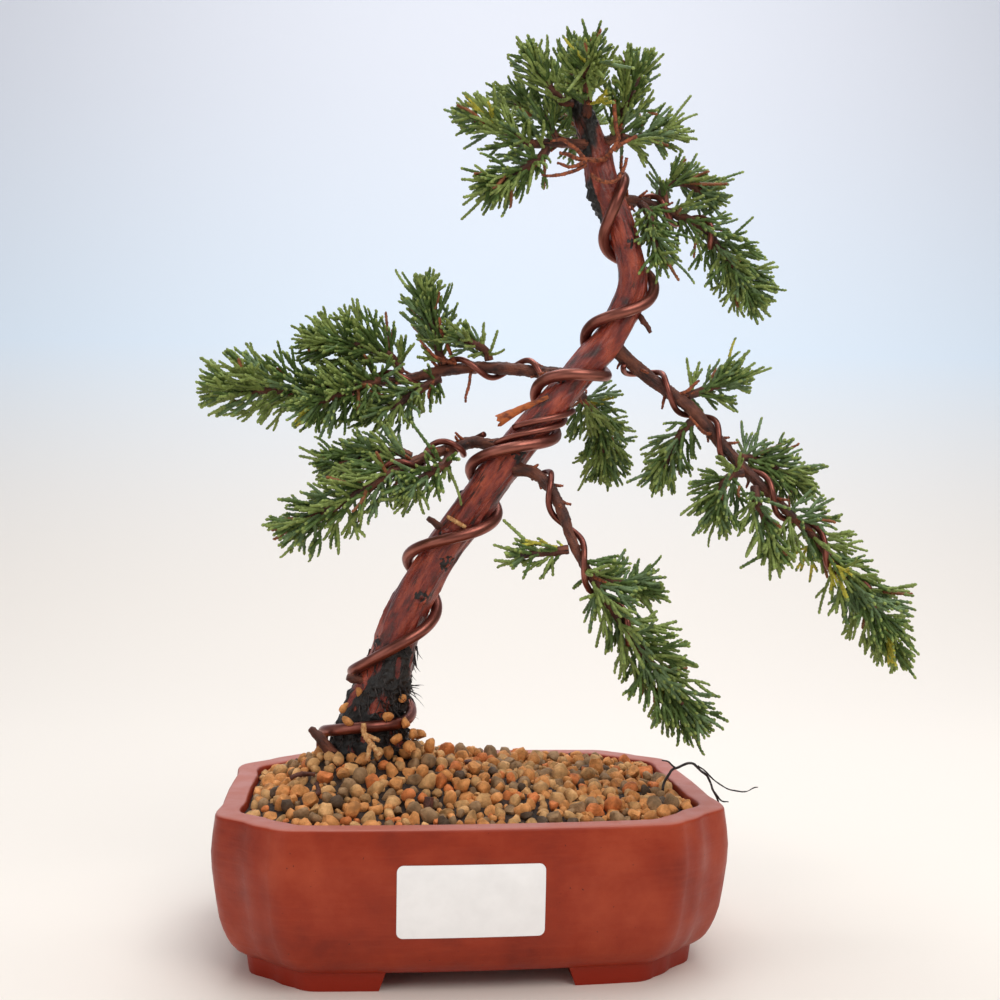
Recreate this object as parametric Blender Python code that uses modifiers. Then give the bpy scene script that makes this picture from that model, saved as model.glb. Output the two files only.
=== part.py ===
# A small wired juniper in a red-brown ceramic pot: pot with four corner feet, soil, trunk, boughs,
# winding wires and the masses of foliage, each its own closed solid.
# Blender works in metres. Stations along limbs are written in millimetres and scaled by MM.
import math
import random

import bmesh
import bpy
import numpy as np

MM = 0.001
GAP = 0.3                        # mm left between pieces that touch

# ---------------------------------------------------------------- pot, soil and label (mm)
RIM_HEIGHT = 57.5
RIM_WIDTH = 8.5
FLOOR_TOP = 14.0
RIM_EDGE = 1.2                   # roundness of the rim's edges
INNER_TAPER = 0.07               # how much narrower the inside is at the floor
WALL_BOTTOM = 6.5
FOOT_INSET = 10.5                # the feet stand in from the widest outline
FOOT_WIDTH_SHARE = 0.74          # inner edge of the ring of feet, as a share of its outer edge
FOOT_GAP_FRONT = 34.0            # half the opening between the front feet
FOOT_GAP_SIDE = 27.0             # half the opening between the feet of one side
FOOT_SLANT = 3.0
FRONT_DEPTH = 75.5               # pot centre to the middle of the front rim
FRONT_BOW = 2.5                  # how far the front falls back by the start of its rounded end
FRONT_FLAT = 62.0                # where the rounded end starts
FRONT_POINTS = (0.0, 31.0, 62.0)
LOBE_RADIUS = 12.0
SIDE_REACH = 91.5                # pot centre to the middle of a side
CORNER = (89.3, 50.5)
GROOVE = [(77.0, 63.6), (81.0, 58.0), (85.0, 54.4)]
# outer wall from the underside up to the rim: height and inset from the widest outline
WALL = [(6.5, 10.5), (9.0, 7.2), (17.0, 2.8), (30.0, 0.2), (44.0, -1.2), (56.3, 0.0), (57.5, 1.2)]
DRAIN_RADIUS = 7.0
DRAIN_OFFSET = 38.0
SEAT = (-38.0, 8.0, 68.0)        # flat top of the soil mound, where the trunk is cut
SEAT_RADIUS = 19.5
SOIL_EDGE = 55.0
SOIL_CLEARANCE = 0.6             # to the inner wall
SOIL_RINGS = 14                  # between the edge and the seat
SOIL_LUMP = 1.7                  # the granules lie in lumps this far above and below the mound
LUMP_SPACING = 7.0               # where the rings lie closer, the lumps are lower
LABEL_SIZE = (50.0, 25.0)
LABEL_CENTRE = (-3.5, 33.5)      # x and z on the front wall
LABEL_THICKNESS = 0.3

# ---------------------------------------------------------------- trunk (x, y, z, radius in mm)
TRUNK = [(-38, 8, 68.3, 16.5), (-38, 8, 72, 14.5), (-37, 7, 82, 11.8), (-32, 5, 97, 9.8),
         (-26, 3, 118, 8.0), (-15, 0, 141, 7.0), (1, -3, 165, 6.9), (12, -4, 181, 6.7),
         (28, -3, 201, 6.2), (45, 0, 221, 5.9), (59, 3, 238, 5.8), (67, 4, 258, 5.5),
         (62, 4, 279, 5.4), (55, 5, 296, 5.5), (51, 7, 315, 5.0), (44, 9, 333, 3.4), (41, 10, 339, 2.6)]
TRUNK_STEP = 8.5                 # between the solid's rings
BOUGH_STEP = 6.5
FLARE_TOP = 104.0                # the root flare's ridges fade out here
FLARE_RIDGES = 5
FLARE_DEPTH = 0.16

# ---------------------------------------------------------------- boughs
# each leaves its carrier at a height (trunk) or beside a point (bough), then runs through stations
BOUGHS = {
    "bough_left_upper": dict(on="trunk", at=219, radius=2.6, stations=[
        (36, 12, 221, 2.5), (23, 18, 223, 2.3), (6, 20, 224, 2.2), (-10, 20, 222, 2.0),
        (-26, 18, 218, 1.8), (-42, 15, 216, 1.5)]),
    "bough_left_lower": dict(on="trunk", at=189, radius=2.3, stations=[
        (3, 1, 192, 2.2), (-7, -6, 189, 2.0), (-18, -13, 185, 1.8), (-28, -18, 180, 1.5)]),
    "bough_right_lower": dict(on="trunk", at=182, radius=2.3, stations=[
        (24, -12, 180, 2.2), (30, -19, 174, 2.0), (34, -24, 165, 1.9), (37, -27, 155, 1.7),
        (41, -29, 146, 1.5), (46, -30, 138, 1.3)]),
    "bough_right_main": dict(on="trunk", at=234, radius=3.0, stations=[
        (65, 7, 227, 2.7), (73, 8, 221, 2.5), (81, 4, 214, 2.4), (90, 1, 207, 2.3), (99, -4, 195, 2.1),
        (110, -8, 182, 1.9), (122, -10, 170, 1.7), (133, -12, 159, 1.4)]),
    "bough_back": dict(on="trunk", at=214, radius=2.1, stations=[
        (46, 17, 213, 2.0), (50, 26, 213, 1.7), (53, 33, 211, 1.4)]),
    "bough_right_upper": dict(on="trunk", at=290, radius=2.0, stations=[
        (65, 12, 293, 1.9), (74, 15, 293, 1.7), (85, 15, 289, 1.4)]),
    "bough_crown_left": dict(on="trunk", at=313, radius=2.0, stations=[
        (42, 4, 313, 1.9), (33, 0, 312, 1.6), (24, -3, 310, 1.4)]),
    "bough_crown_right": dict(on="trunk", at=313, radius=1.9, stations=[
        (58, 5, 316, 1.7), (61, 4, 321, 1.4)]),
    "bough_crown_back": dict(on="trunk", at=318, radius=1.8, stations=[
        (50, 18, 321, 1.6), (48, 26, 324, 1.3)]),
    "bough_crown_front": dict(on="trunk", at=324, radius=1.7, stations=[
        (47, -1, 327, 1.5), (45, -9, 331, 1.3)]),
}

# ---------------------------------------------------------------- masses of foliage
# stem stations (x, y, z) in mm and, beside each, how far the mass reaches from its stem there;
# a mass at a tip goes on from the bough's end, one at a side leaves the bough beside `at`
MASSES = {
    "foliage_left_upper_tip": dict(on="bough_left_upper", at="tip", lift=0.15, stations=[
        (-57, 12, 213, 14), (-72, 8, 212, 19), (-90, 5, 211, 18)]),
    "foliage_left_upper_mid": dict(on="bough_left_upper", at=(-24, 18, 219), lift=0.2, stations=[
        (-29, 16, 226, 13), (-40, 13, 230, 18), (-53, 10, 231, 15)]),
    "foliage_left_upper_top": dict(on="bough_left_upper", at=(-8, 20, 222), lift=0.3, stations=[
        (-11, 20, 232, 12), (-14, 20, 242, 15), (-16, 20, 250, 12)]),
    "foliage_left_upper_front": dict(on="bough_left_upper", at=(-32, 17, 217), lift=0.0, stations=[
        (-37, 7, 216, 11), (-48, -1, 211, 14), (-59, -6, 206, 12)]),
    "foliage_left_upper_low": dict(on="bough_left_upper", at=(-4, 20, 223), lift=-0.1, stations=[
        (-20, 14, 213, 9), (-27, 10, 208, 12), (-35, 7, 204, 10)]),
    "foliage_left_upper_inner": dict(on="bough_left_upper", at=(11, 20, 224), lift=0.1, stations=[
        (9, 18, 230, 6), (3, 15, 233, 8), (-3, 12, 235, 7)]),
    "foliage_left_lower_tip": dict(on="bough_left_lower", at="tip", lift=0.0, stations=[
        (-39, -20, 173, 12), (-51, -22, 166, 15), (-63, -22, 160, 12)]),
    "foliage_left_lower_top": dict(on="bough_left_lower", at=(-21, -15, 184), lift=0.2, stations=[
        (-27, -12, 187, 9), (-38, -10, 186, 12), (-50, -8, 182, 10)]),
    "foliage_left_lower_inner": dict(on="bough_left_lower", at=(-6, -5, 189), lift=0.0, stations=[
        (-9, -13, 184, 8), (-16, -19, 179, 11), (-24, -23, 173, 9)]),
    "foliage_right_lower": dict(on="bough_right_lower", at="tip", lift=-0.1, stations=[
        (51, -32, 130, 12), (60, -34, 117, 17), (70, -35, 104, 18), (78, -35, 93, 14)]),
    "foliage_right_lower_top": dict(on="bough_right_lower", at=(42, -29, 144), lift=0.1, stations=[
        (52, -25, 138, 8), (59, -20, 137, 11), (67, -17, 135, 9)]),
    "foliage_right_lower_sprig": dict(on="bough_right_lower", at=(36, -28, 150), lift=0.1, stations=[
        (33, -27, 150, 6), (26, -26, 149, 8), (18, -26, 148, 7)]),
    "foliage_right_main_top": dict(on="bough_right_main", at=(86, 2, 212), lift=0.2, stations=[
        (92, 4, 213, 9), (100, 5, 216, 12), (108, 5, 218, 9)]),
    "foliage_right_main_low": dict(on="bough_right_main", at=(93, 0, 203), lift=-0.3, stations=[
        (88, 2, 199, 9), (84, 5, 191, 12), (80, 7, 183, 10)]),
    "foliage_right_main_mid": dict(on="bough_right_main", at=(106, -6, 187), lift=0.1, stations=[
        (114, -2, 187, 11), (123, 1, 184, 14), (132, 2, 179, 12)]),
    "foliage_right_main_fill": dict(on="bough_right_main", at=(111, -8, 181), lift=-0.1, stations=[
        (104, -12, 180, 10), (99, -14, 175, 15), (98, -15, 168, 12)]),
    "foliage_right_main_under": dict(on="bough_right_main", at=(113, -8, 179), lift=-0.2, stations=[
        (113, -14, 169, 10), (116, -17, 161, 13), (118, -19, 153, 10)]),
    "foliage_right_main_tip": dict(on="bough_right_main", at="tip", lift=-0.05, stations=[
        (142, -13, 149, 15), (153, -14, 137, 18), (163, -14, 124, 17), (169, -14, 114, 11)]),
    "foliage_back": dict(on="bough_back", at="tip", lift=-0.1, stations=[
        (57, 40, 209, 14), (61, 44, 201, 19), (63, 46, 191, 15)]),
    "foliage_right_upper_tip": dict(on="bough_right_upper", at="tip", lift=0.0, stations=[
        (96, 15, 285, 12), (107, 15, 273, 15), (117, 14, 259, 13)]),
    "foliage_right_upper_low": dict(on="bough_right_upper", at=(72, 13, 298), lift=-0.2, stations=[
        (74, 7, 286, 9), (74, 3, 278, 12), (76, 0, 270, 9)]),
    "foliage_right_upper_top": dict(on="bough_right_upper", at=(82, 15, 290), lift=0.3, stations=[
        (82, 16, 300, 9), (91, 17, 302, 11), (100, 17, 298, 9)]),
    "foliage_crown_left": dict(on="bough_crown_left", at="tip", lift=0.2, stations=[
        (16, -3, 314, 10), (8, -2, 318, 13), (2, 0, 320, 10)]),
    "foliage_crown_left_low": dict(on="bough_crown_left", at=(32, 0, 312), lift=-0.1, stations=[
        (28, -5, 305, 9), (19, -8, 298, 13), (10, -9, 293, 11)]),
    "foliage_crown_left_mid": dict(on="bough_crown_left", at=(34, 1, 313), lift=0.3, stations=[
        (32, 8, 322, 10), (26, 13, 329, 13), (20, 16, 333, 10)]),
    "foliage_crown_left_top": dict(on="trunk", at=329, lift=0.3, stations=[
        (37, 3, 330, 10), (31, 1, 336, 12), (26, 0, 342, 10)]),
    "foliage_crown_top": dict(on="trunk", at="tip", lift=0.3, stations=[
        (41, 10, 343, 11), (43, 10, 348, 12), (44, 10, 352, 8)]),
    "foliage_crown_right": dict(on="bough_crown_right", at="tip", lift=0.2, stations=[
        (62, 1, 326, 12), (64, -2, 333, 15), (67, -3, 339, 12)]),
    "foliage_crown_right_low": dict(on="bough_crown_right", at=(59, 5, 317), lift=0.0, stations=[
        (67, 9, 317, 9), (74, 11, 320, 12), (81, 12, 321, 9)]),
    "foliage_crown_front": dict(on="bough_crown_front", at="tip", lift=0.2, stations=[
        (44, -14, 334, 12), (44, -21, 336, 14), (44, -27, 337, 10)]),
    "foliage_crown_back": dict(on="bough_crown_back", at="tip", lift=0.2, stations=[
        (49, 32, 330, 13), (50, 39, 335, 16), (51, 46, 337, 12)]),
}
STEM_RADIUS = (1.6, 1.1)         # at its root and its end
STEM_THINNING = 4                # every fourth row of the fine path shapes the solid stem
TWIG_STEP = 6.9                  # along the stem
TWIG_LEAN = math.radians(52)
TWIG_REACH = 1.08                # a twig's length as a share of the mass's reach
TWIG_RADIUS = (0.95, 0.3)
SHOOT_STEP = 4.8                 # along a twig
SHOOT_LEAN = math.radians(36)
SHOOT_LENGTH = 14.5
SHOOT_WIDTH = (1.7, 1.1)         # half its breadth and half its thickness
SHOOT_WIDEST = 0.42              # where along a shoot it is thickest
SHOOT_SUNK = 0.9                 # how far its root lies behind the twig's line
FIRST_SHOOT = 0.28               # share of a twig that is bare
LAST_SHOOT = 0.86
GOLDEN_ANGLE = math.radians(137.5)

# ---------------------------------------------------------------- wires
TRUNK_WIRE_RADIUS = 2.3
BOUGH_WIRE_RADIUS = 1.2
WIRE_CLEARANCE = 0.7             # between a wire's axis line and the bark, beyond both radii
# heights of the trunk's axis where the thick wire passes the left and the right side in turn
TRUNK_WIRE_PASSES = [76, 90, 98, 129, 143, 168, 178, 200, 209, 225, 233, 257, 277, 299]
# two thinner wires lie beside the thick one: passes counted from its first left pass, and the lift
THIN_WIRE_RUNS = {"wire_trunk_thin_low": (6.15, 7.75, 7.0), "wire_trunk_thin_high": (6.25, 7.0, 13.0)}
# bough wires: bough, mass, pitch, start angle in turns, start and end as distances along both
BOUGH_WIRES = {
    "wire_left_upper": ("bough_left_upper", "foliage_left_upper_tip", 29.0, 0.3, 6.0, 112.0),
    "wire_left_lower": ("bough_left_lower", "foliage_left_lower_tip", 22.0, 0.85, 5.0, 52.0),
    "wire_right_lower": ("bough_right_lower", "foliage_right_lower", 29.0, 0.5, 4.0, 84.0),
    "wire_right_main": ("bough_right_main", "foliage_right_main_tip", 29.0, 0.25, 5.0, 140.0),
    "wire_right_upper": ("bough_right_upper", "foliage_right_upper_tip", 22.0, 0.2, 5.0, 50.0),
}

# ---------------------------------------------------------------- small pieces
ROOT_STRAND = [(74.5, -18, 56.45, 0.7), (78.5, -17, 65, 0.8), (86, -17, 67.5, 0.8), (93, -17, 62, 0.7),
               (96, -18, 55, 0.6), (98.5, -19, 47, 0.5)]
BASE_STUB = [(-52.5, -3, 71, 2.2), (-57, -4, 77, 1.8), (-60, -4, 80, 1.2)]
FLAKE = dict(root=(30.8, -8.7, 209.6), tip=(10, -14, 199), width=5.0, thickness=0.8)

COLOURS = {
    "ceramic": ((0.33, 0.06, 0.03), 0.42, 0.0),
    "soil": ((0.30, 0.15, 0.06), 0.95, 0.0),
    "bark": ((0.26, 0.07, 0.035), 0.75, 0.0),
    "twig": ((0.16, 0.07, 0.04), 0.8, 0.0),
    "foliage": ((0.08, 0.20, 0.05), 0.6, 0.0),
    "wire": ((0.20, 0.06, 0.045), 0.3, 0.8),
    "label": ((0.85, 0.85, 0.84), 0.5, 0.0),
    "root": ((0.03, 0.02, 0.015), 0.9, 0.0),
}


def clear_scene():
    for thing in list(bpy.data.objects):
        bpy.data.objects.remove(thing, do_unlink=True)


def material(slot):
    found = bpy.data.materials.get(slot)
    if found:
        return found
    colour, roughness, metallic = COLOURS[slot]
    made = bpy.data.materials.new(slot)
    made.use_nodes = True
    shader = made.node_tree.nodes["Principled BSDF"]
    shader.inputs["Base Color"].default_value = (*colour, 1.0)
    shader.inputs["Roughness"].default_value = roughness
    shader.inputs["Metallic"].default_value = metallic
    return made


def new_object(name, data, collection):
    thing = bpy.data.objects.new(name, data)
    collection.objects.link(thing)
    return thing


def mesh_object(name, bm, collection, slot, smooth=True):
    mesh = bpy.data.meshes.new(name)
    bm.to_mesh(mesh)
    bm.free()
    mesh.materials.append(material(slot))
    if smooth:
        mesh.shade_smooth()
        mesh.set_sharp_from_angle(angle=math.radians(40))
    return new_object(name, mesh, collection)


# ---------------------------------------------------------------- paths
def smooth_path(stations, step):
    # a smooth curve through the stations, as rows of x, y, z, radius a step apart
    rows = np.array(stations, float)
    chord = np.linalg.norm(np.diff(rows[:, :3], axis=0), axis=1)
    along = np.concatenate([[0.0], np.cumsum(chord)])
    slope = np.gradient(rows, along, axis=0)
    slope[0] = (rows[1] - rows[0]) / chord[0]
    slope[-1] = (rows[-1] - rows[-2]) / chord[-1]
    at = np.linspace(0.0, along[-1], max(3, round(along[-1] / step) + 1))
    k = np.clip(np.searchsorted(along, at, side="right") - 1, 0, len(along) - 2)
    h = (along[k + 1] - along[k])[:, None]
    t = (at - along[k])[:, None] / h
    return ((2 * t**3 - 3 * t**2 + 1) * rows[k] + (t**3 - 2 * t**2 + t) * h * slope[k]
            + (3 * t**2 - 2 * t**3) * rows[k + 1] + (t**3 - t**2) * h * slope[k + 1])


def unit(vector):
    return vector / np.linalg.norm(vector)


def tangents(path):
    lines = np.gradient(path[:, :3], axis=0)
    return lines / np.linalg.norm(lines, axis=1)[:, None]


def lengths(path):
    return np.concatenate([[0.0], np.cumsum(np.linalg.norm(np.diff(path[:, :3], axis=0), axis=1))])


def leave(carrier, index, towards, radius):
    # the point just clear of a carrier's bark from which a limb runs towards a station
    base = carrier[index]
    line = unit(np.array(towards, float) - base[:3])
    cosine = abs(float(line @ tangents(carrier)[index]))
    sine = math.sqrt(max(1.0 - cosine**2, 0.2))
    return base[:3] + line * (base[3] + GAP + radius * cosine) / sine


def side_vectors(line, reference):
    across = unit(np.array(reference, float) - line * float(np.dot(reference, line)))
    return across, np.cross(line, across)


# ---------------------------------------------------------------- tubes
def tube(name, path, resolution, slot, collection):
    curve = bpy.data.curves.new(name, "CURVE")
    curve.dimensions = "3D"
    curve.bevel_mode = "ROUND"
    curve.bevel_depth = float(path[:, 3].max()) * MM
    curve.bevel_resolution = resolution
    curve.use_fill_caps = True
    spline = curve.splines.new("POLY")
    spline.points.add(len(path) - 1)
    for point, (x, y, z, radius) in zip(spline.points, path):
        point.co = (x * MM, y * MM, z * MM, 1.0)
        point.radius = radius / float(path[:, 3].max())
    curve.materials.append(material(slot))
    return new_object(name, curve, collection)


def meshed(thing, collection):
    # the same tube as a welded mesh, so that it can be shaped or joined
    evaluated = thing.evaluated_get(bpy.context.evaluated_depsgraph_get())
    mesh = bpy.data.meshes.new_from_object(evaluated)
    name = thing.name
    bpy.data.objects.remove(thing, do_unlink=True)
    bm = bmesh.new()
    bm.from_mesh(mesh)
    bmesh.ops.remove_doubles(bm, verts=bm.verts, dist=1e-6)
    bm.to_mesh(mesh)
    bm.free()
    mesh.name = name
    return new_object(name, mesh, collection)


# ---------------------------------------------------------------- pot
def front_bow(x):
    return FRONT_DEPTH - FRONT_BOW * (x / FRONT_FLAT) ** 2


def pot_outline():
    # one quarter, from the middle of the front round to the middle of the right side, then mirrored
    quarter = [(x, front_bow(x)) for x in FRONT_POINTS]
    lobe_centre = front_bow(FRONT_FLAT) - LOBE_RADIUS
    for degrees in (70, 50, 34):
        turn = math.radians(degrees)
        quarter.append((FRONT_FLAT + LOBE_RADIUS * math.cos(turn), lobe_centre + LOBE_RADIUS * math.sin(turn)))
    quarter += GROOVE + [CORNER, (SIDE_REACH - 0.6, 26.0), (SIDE_REACH, 0.0)]
    front_right = [(x, -y) for x, y in quarter]
    back_right = [(x, y) for x, y in reversed(quarter[:-1])]
    right = front_right + back_right
    left = [(-x, y) for x, y in reversed(right[1:-1])]
    return np.array(right + left)


def inset(outline, distance):
    # narrowed by the same distance at the front and at the sides
    return outline * [1.0 - distance / SIDE_REACH, 1.0 - distance / FRONT_DEPTH]


def loft(rings, bottom=True, top=True):
    # closed rings of equal count, lowest first, joined by quads and closed by flat caps
    bm = bmesh.new()
    loops = [[bm.verts.new((x * MM, y * MM, z * MM)) for x, y, z in ring] for ring in rings]
    count = len(loops[0])
    for lower, upper in zip(loops, loops[1:]):
        for i in range(count):
            j = (i + 1) % count
            bm.faces.new((lower[i], lower[j], upper[j], upper[i]))
    if bottom:
        bm.faces.new(list(reversed(loops[0])))
    if top:
        bm.faces.new(loops[-1])
    return bm


def ring_at(outline, height):
    return [(x, y, height) for x, y in outline]


def inside_ring(height, clearance):
    # the pot's inner wall narrows evenly from the rim to the floor
    top = RIM_HEIGHT - RIM_EDGE
    narrowing = 1.0 - INNER_TAPER * (top - height) / (top - FLOOR_TOP)
    return ring_at(inset(pot_outline(), RIM_WIDTH + clearance) * narrowing, height)


def boolean(thing, operation, other=None, group=None, solver="EXACT"):
    step = thing.modifiers.new(operation.lower(), "BOOLEAN")
    step.operation = operation
    step.solver = solver
    if group:
        step.operand_type = "COLLECTION"
        step.collection = group
    else:
        step.object = other
    evaluated = thing.evaluated_get(bpy.context.evaluated_depsgraph_get())
    mesh = bpy.data.meshes.new_from_object(evaluated)
    thing.modifiers.remove(step)
    thing.data = mesh


def make_pot(parts, tools):
    outline = pot_outline()
    rings = [ring_at(inset(outline, depth), height) for height, depth in WALL]
    rings += [ring_at(inset(outline, RIM_WIDTH - RIM_EDGE), RIM_HEIGHT),
              inside_ring(RIM_HEIGHT - RIM_EDGE, 0.0), inside_ring(FLOOR_TOP, 0.0)]
    pot = mesh_object("pot", loft(rings), parts, "ceramic")

    foot_outer = inset(outline, FOOT_INSET)
    feet_bm = loft([ring_at(foot_outer * 0.985, 0.0), ring_at(foot_outer, WALL_BOTTOM + 2.0)])
    feet = mesh_object("feet", feet_bm, tools, "ceramic", smooth=False)
    hollow = loft([ring_at(foot_outer * FOOT_WIDTH_SHARE, -1.0),
                   ring_at(foot_outer * FOOT_WIDTH_SHARE * 0.97, WALL_BOTTOM + 3.0)])
    cutters = [mesh_object("feet_hollow", hollow, tools, "ceramic", smooth=False)]
    far = 120.0
    for name, half, slant, swap in (("front_gap", FOOT_GAP_FRONT, FOOT_SLANT, False),
                                    ("side_gap", FOOT_GAP_SIDE, FOOT_SLANT, True)):
        low = [(-half, -far), (half, -far), (half, far), (-half, far)]
        high = [(x - math.copysign(slant, x), y) for x, y in low]
        if swap:
            low = [(y, -x) for x, y in low]
            high = [(y, -x) for x, y in high]
        bm = loft([[(x, y, -1.0) for x, y in low], [(x, y, WALL_BOTTOM + 3.0) for x, y in high]])
        cutters.append(mesh_object(name, bm, tools, "ceramic", smooth=False))
    for side in (-1, 1):
        hole = bmesh.new()
        bmesh.ops.create_cone(hole, cap_ends=True, segments=14, radius1=DRAIN_RADIUS * MM,
                              radius2=DRAIN_RADIUS * MM, depth=0.03)
        bmesh.ops.translate(hole, verts=hole.verts, vec=(side * DRAIN_OFFSET * MM, 0.0, 0.01))
        cutters.append(mesh_object("drain", hole, tools, "ceramic", smooth=False))
    for cutter in cutters[:3]:
        boolean(feet, "DIFFERENCE", cutter)
    boolean(pot, "UNION", feet)
    for cutter in cutters[3:]:
        boolean(pot, "DIFFERENCE", cutter)
    for cutter in cutters + [feet]:
        bpy.data.objects.remove(cutter, do_unlink=True)
    pot.data.shade_smooth()
    pot.data.set_sharp_from_angle(angle=math.radians(35))
    return pot


def make_soil(parts):
    rings = [inside_ring(FLOOR_TOP + GAP, SOIL_CLEARANCE), inside_ring(SOIL_EDGE, SOIL_CLEARANCE)]
    inner = np.array(rings[-1])[:, :2]
    seat = np.array(SEAT[:2])
    away = inner - seat
    circle = seat + SEAT_RADIUS * away / np.linalg.norm(away, axis=1)[:, None]
    between = np.linalg.norm(inner - circle, axis=1) / SOIL_RINGS
    for k in range(1, SOIL_RINGS + 1):
        share = k / SOIL_RINGS
        ring = circle * share + inner * (1.0 - share)
        across = np.linalg.norm(np.roll(ring, -1, axis=0) - ring, axis=1)
        height = SOIL_EDGE + (SEAT[2] - SOIL_EDGE) * share ** 1.5
        room = np.minimum(1.0, np.minimum(between, across) / LUMP_SPACING)
        lump = SOIL_LUMP * room * (-1.0) ** (np.arange(len(ring)) + k) * (1 < k < SOIL_RINGS)
        rings.append([(x, y, height + rise) for (x, y), rise in zip(ring, lump)])
    mesh_object("soil", loft(rings), parts, "soil")


def front_wall(x, height):
    # y of the faceted front wall
    heights, depths = zip(*WALL)
    narrowed = inset(np.array([[point, front_bow(point)] for point in FRONT_POINTS]),
                     float(np.interp(height, heights, depths)))
    return -float(np.interp(abs(x), narrowed[:, 0], narrowed[:, 1]))


def make_label(parts):
    # a thin skin bent where the front wall bends
    half, tall = LABEL_SIZE[0] / 2, LABEL_SIZE[1] / 2
    columns = (LABEL_CENTRE[0] - half, 0.0, LABEL_CENTRE[0] + half)
    bends = [height for height, _ in WALL if abs(height - LABEL_CENTRE[1]) < tall]
    rows = [LABEL_CENTRE[1] - tall, *bends, LABEL_CENTRE[1] + tall]
    bm = bmesh.new()
    bmesh.ops.create_grid(bm, x_segments=len(columns) - 1, y_segments=len(rows) - 1, size=0.5)
    for vert in bm.verts:
        x = columns[round((vert.co.x + 0.5) * (len(columns) - 1))]
        z = rows[round((vert.co.y + 0.5) * (len(rows) - 1))]
        vert.co = (x * MM, (front_wall(x, z) - GAP) * MM, z * MM)
    bmesh.ops.recalc_face_normals(bm, faces=bm.faces)
    label = mesh_object("label", bm, parts, "label")
    skin = label.modifiers.new("thickness", "SOLIDIFY")
    skin.thickness = LABEL_THICKNESS * MM
    skin.offset = 1.0


# ---------------------------------------------------------------- limbs
def flare_fade(height):
    return max(0.0, (FLARE_TOP - height) / (FLARE_TOP - TRUNK[0][2]))


def make_trunk(parts):
    path = smooth_path(TRUNK, TRUNK_STEP)
    path[1, :2] = path[0, :2]    # upright at the foot, so that the cut is level
    trunk = meshed(tube("trunk", path, 3, "bark", parts), parts)
    axis = smooth_path(TRUNK, 1.5)
    for vert in trunk.data.vertices:
        height = vert.co.z / MM
        centre = axis[np.argmin(abs(axis[:, 2] - height))]
        dx = vert.co.x - centre[0] * MM
        dy = vert.co.y - centre[1] * MM
        swell = 1.0 + FLARE_DEPTH * flare_fade(height) * math.cos(FLARE_RIDGES * math.atan2(dy, dx) + 0.8)
        vert.co.x = centre[0] * MM + dx * swell
        vert.co.y = centre[1] * MM + dy * swell
    trunk.data.shade_smooth()
    trunk.data.set_sharp_from_angle(angle=math.radians(40))
    return axis


def carrier_index(path, at):
    if at == "tip":
        return len(path) - 1
    if isinstance(at, tuple):
        return int(np.argmin(np.linalg.norm(path[:, :3] - np.array(at), axis=1)))
    return int(np.argmin(abs(path[:, 2] - at)))


def bough_path(spec, carriers, step):
    carrier = carriers[spec["on"]]
    start = leave(carrier, carrier_index(carrier, spec["at"]), spec["stations"][0][:3], spec["radius"])
    return smooth_path([(*start, spec["radius"])] + spec["stations"], step)


def stem_path(spec, carriers, step):
    # the stem of a mass, with the mass's reach beside each row in place of the radius
    carrier = carriers[spec["on"]]
    reach = spec["stations"][0][3]
    if spec["at"] == "tip":
        line = unit(carrier[-1, :3] - carrier[-2, :3])
        start = carrier[-1, :3] + line * GAP
        rows = [(*start, reach), (*(start + line * 2.0), reach)]
    else:
        index = carrier_index(carrier, spec["at"])
        start = leave(carrier, index, spec["stations"][0][:3], STEM_RADIUS[0])
        rows = [(*start, reach)]
    return smooth_path(rows + spec["stations"], step)


def with_stem_radius(path):
    solid = path.copy()
    solid[:, 3] = np.linspace(*STEM_RADIUS, len(path))
    return solid


# ---------------------------------------------------------------- wires
def wound(path, angles, wire_radius, reference):
    # a wire's axis: at each distance along the path it stands off the bark at the given angle
    spots = lengths(path)
    lines = tangents(path)
    rows = []
    for distance, angle in angles:
        centre = [np.interp(distance, spots, path[:, i]) for i in range(4)]
        line = unit(np.array([np.interp(distance, spots, lines[:, i]) for i in range(3)]))
        across, back = side_vectors(line, reference)
        off = centre[3] + wire_radius + WIRE_CLEARANCE
        rows.append([*(np.array(centre[:3]) + off * (across * math.cos(angle) + back * math.sin(angle))),
                     wire_radius])
    return np.array(rows)


def trunk_winding(axis, first, last, lift, points_per_turn):
    # passes are half turns: an even one is on the left side, an odd one on the right
    spots = lengths(axis)
    passes = [float(np.interp(height, axis[:, 2], spots)) for height in TRUNK_WIRE_PASSES]
    count = round((last - first) / 2 * points_per_turn) + 1
    along = np.linspace(first, last, count)
    knots = np.arange(len(passes))
    eased = smooth_path([(k, 0.0, 0.0, p) for k, p in zip(knots, passes)], 0.05)
    return [(float(np.interp(k, eased[:, 0], eased[:, 3])) + lift, math.pi + math.pi * k) for k in along]


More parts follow.
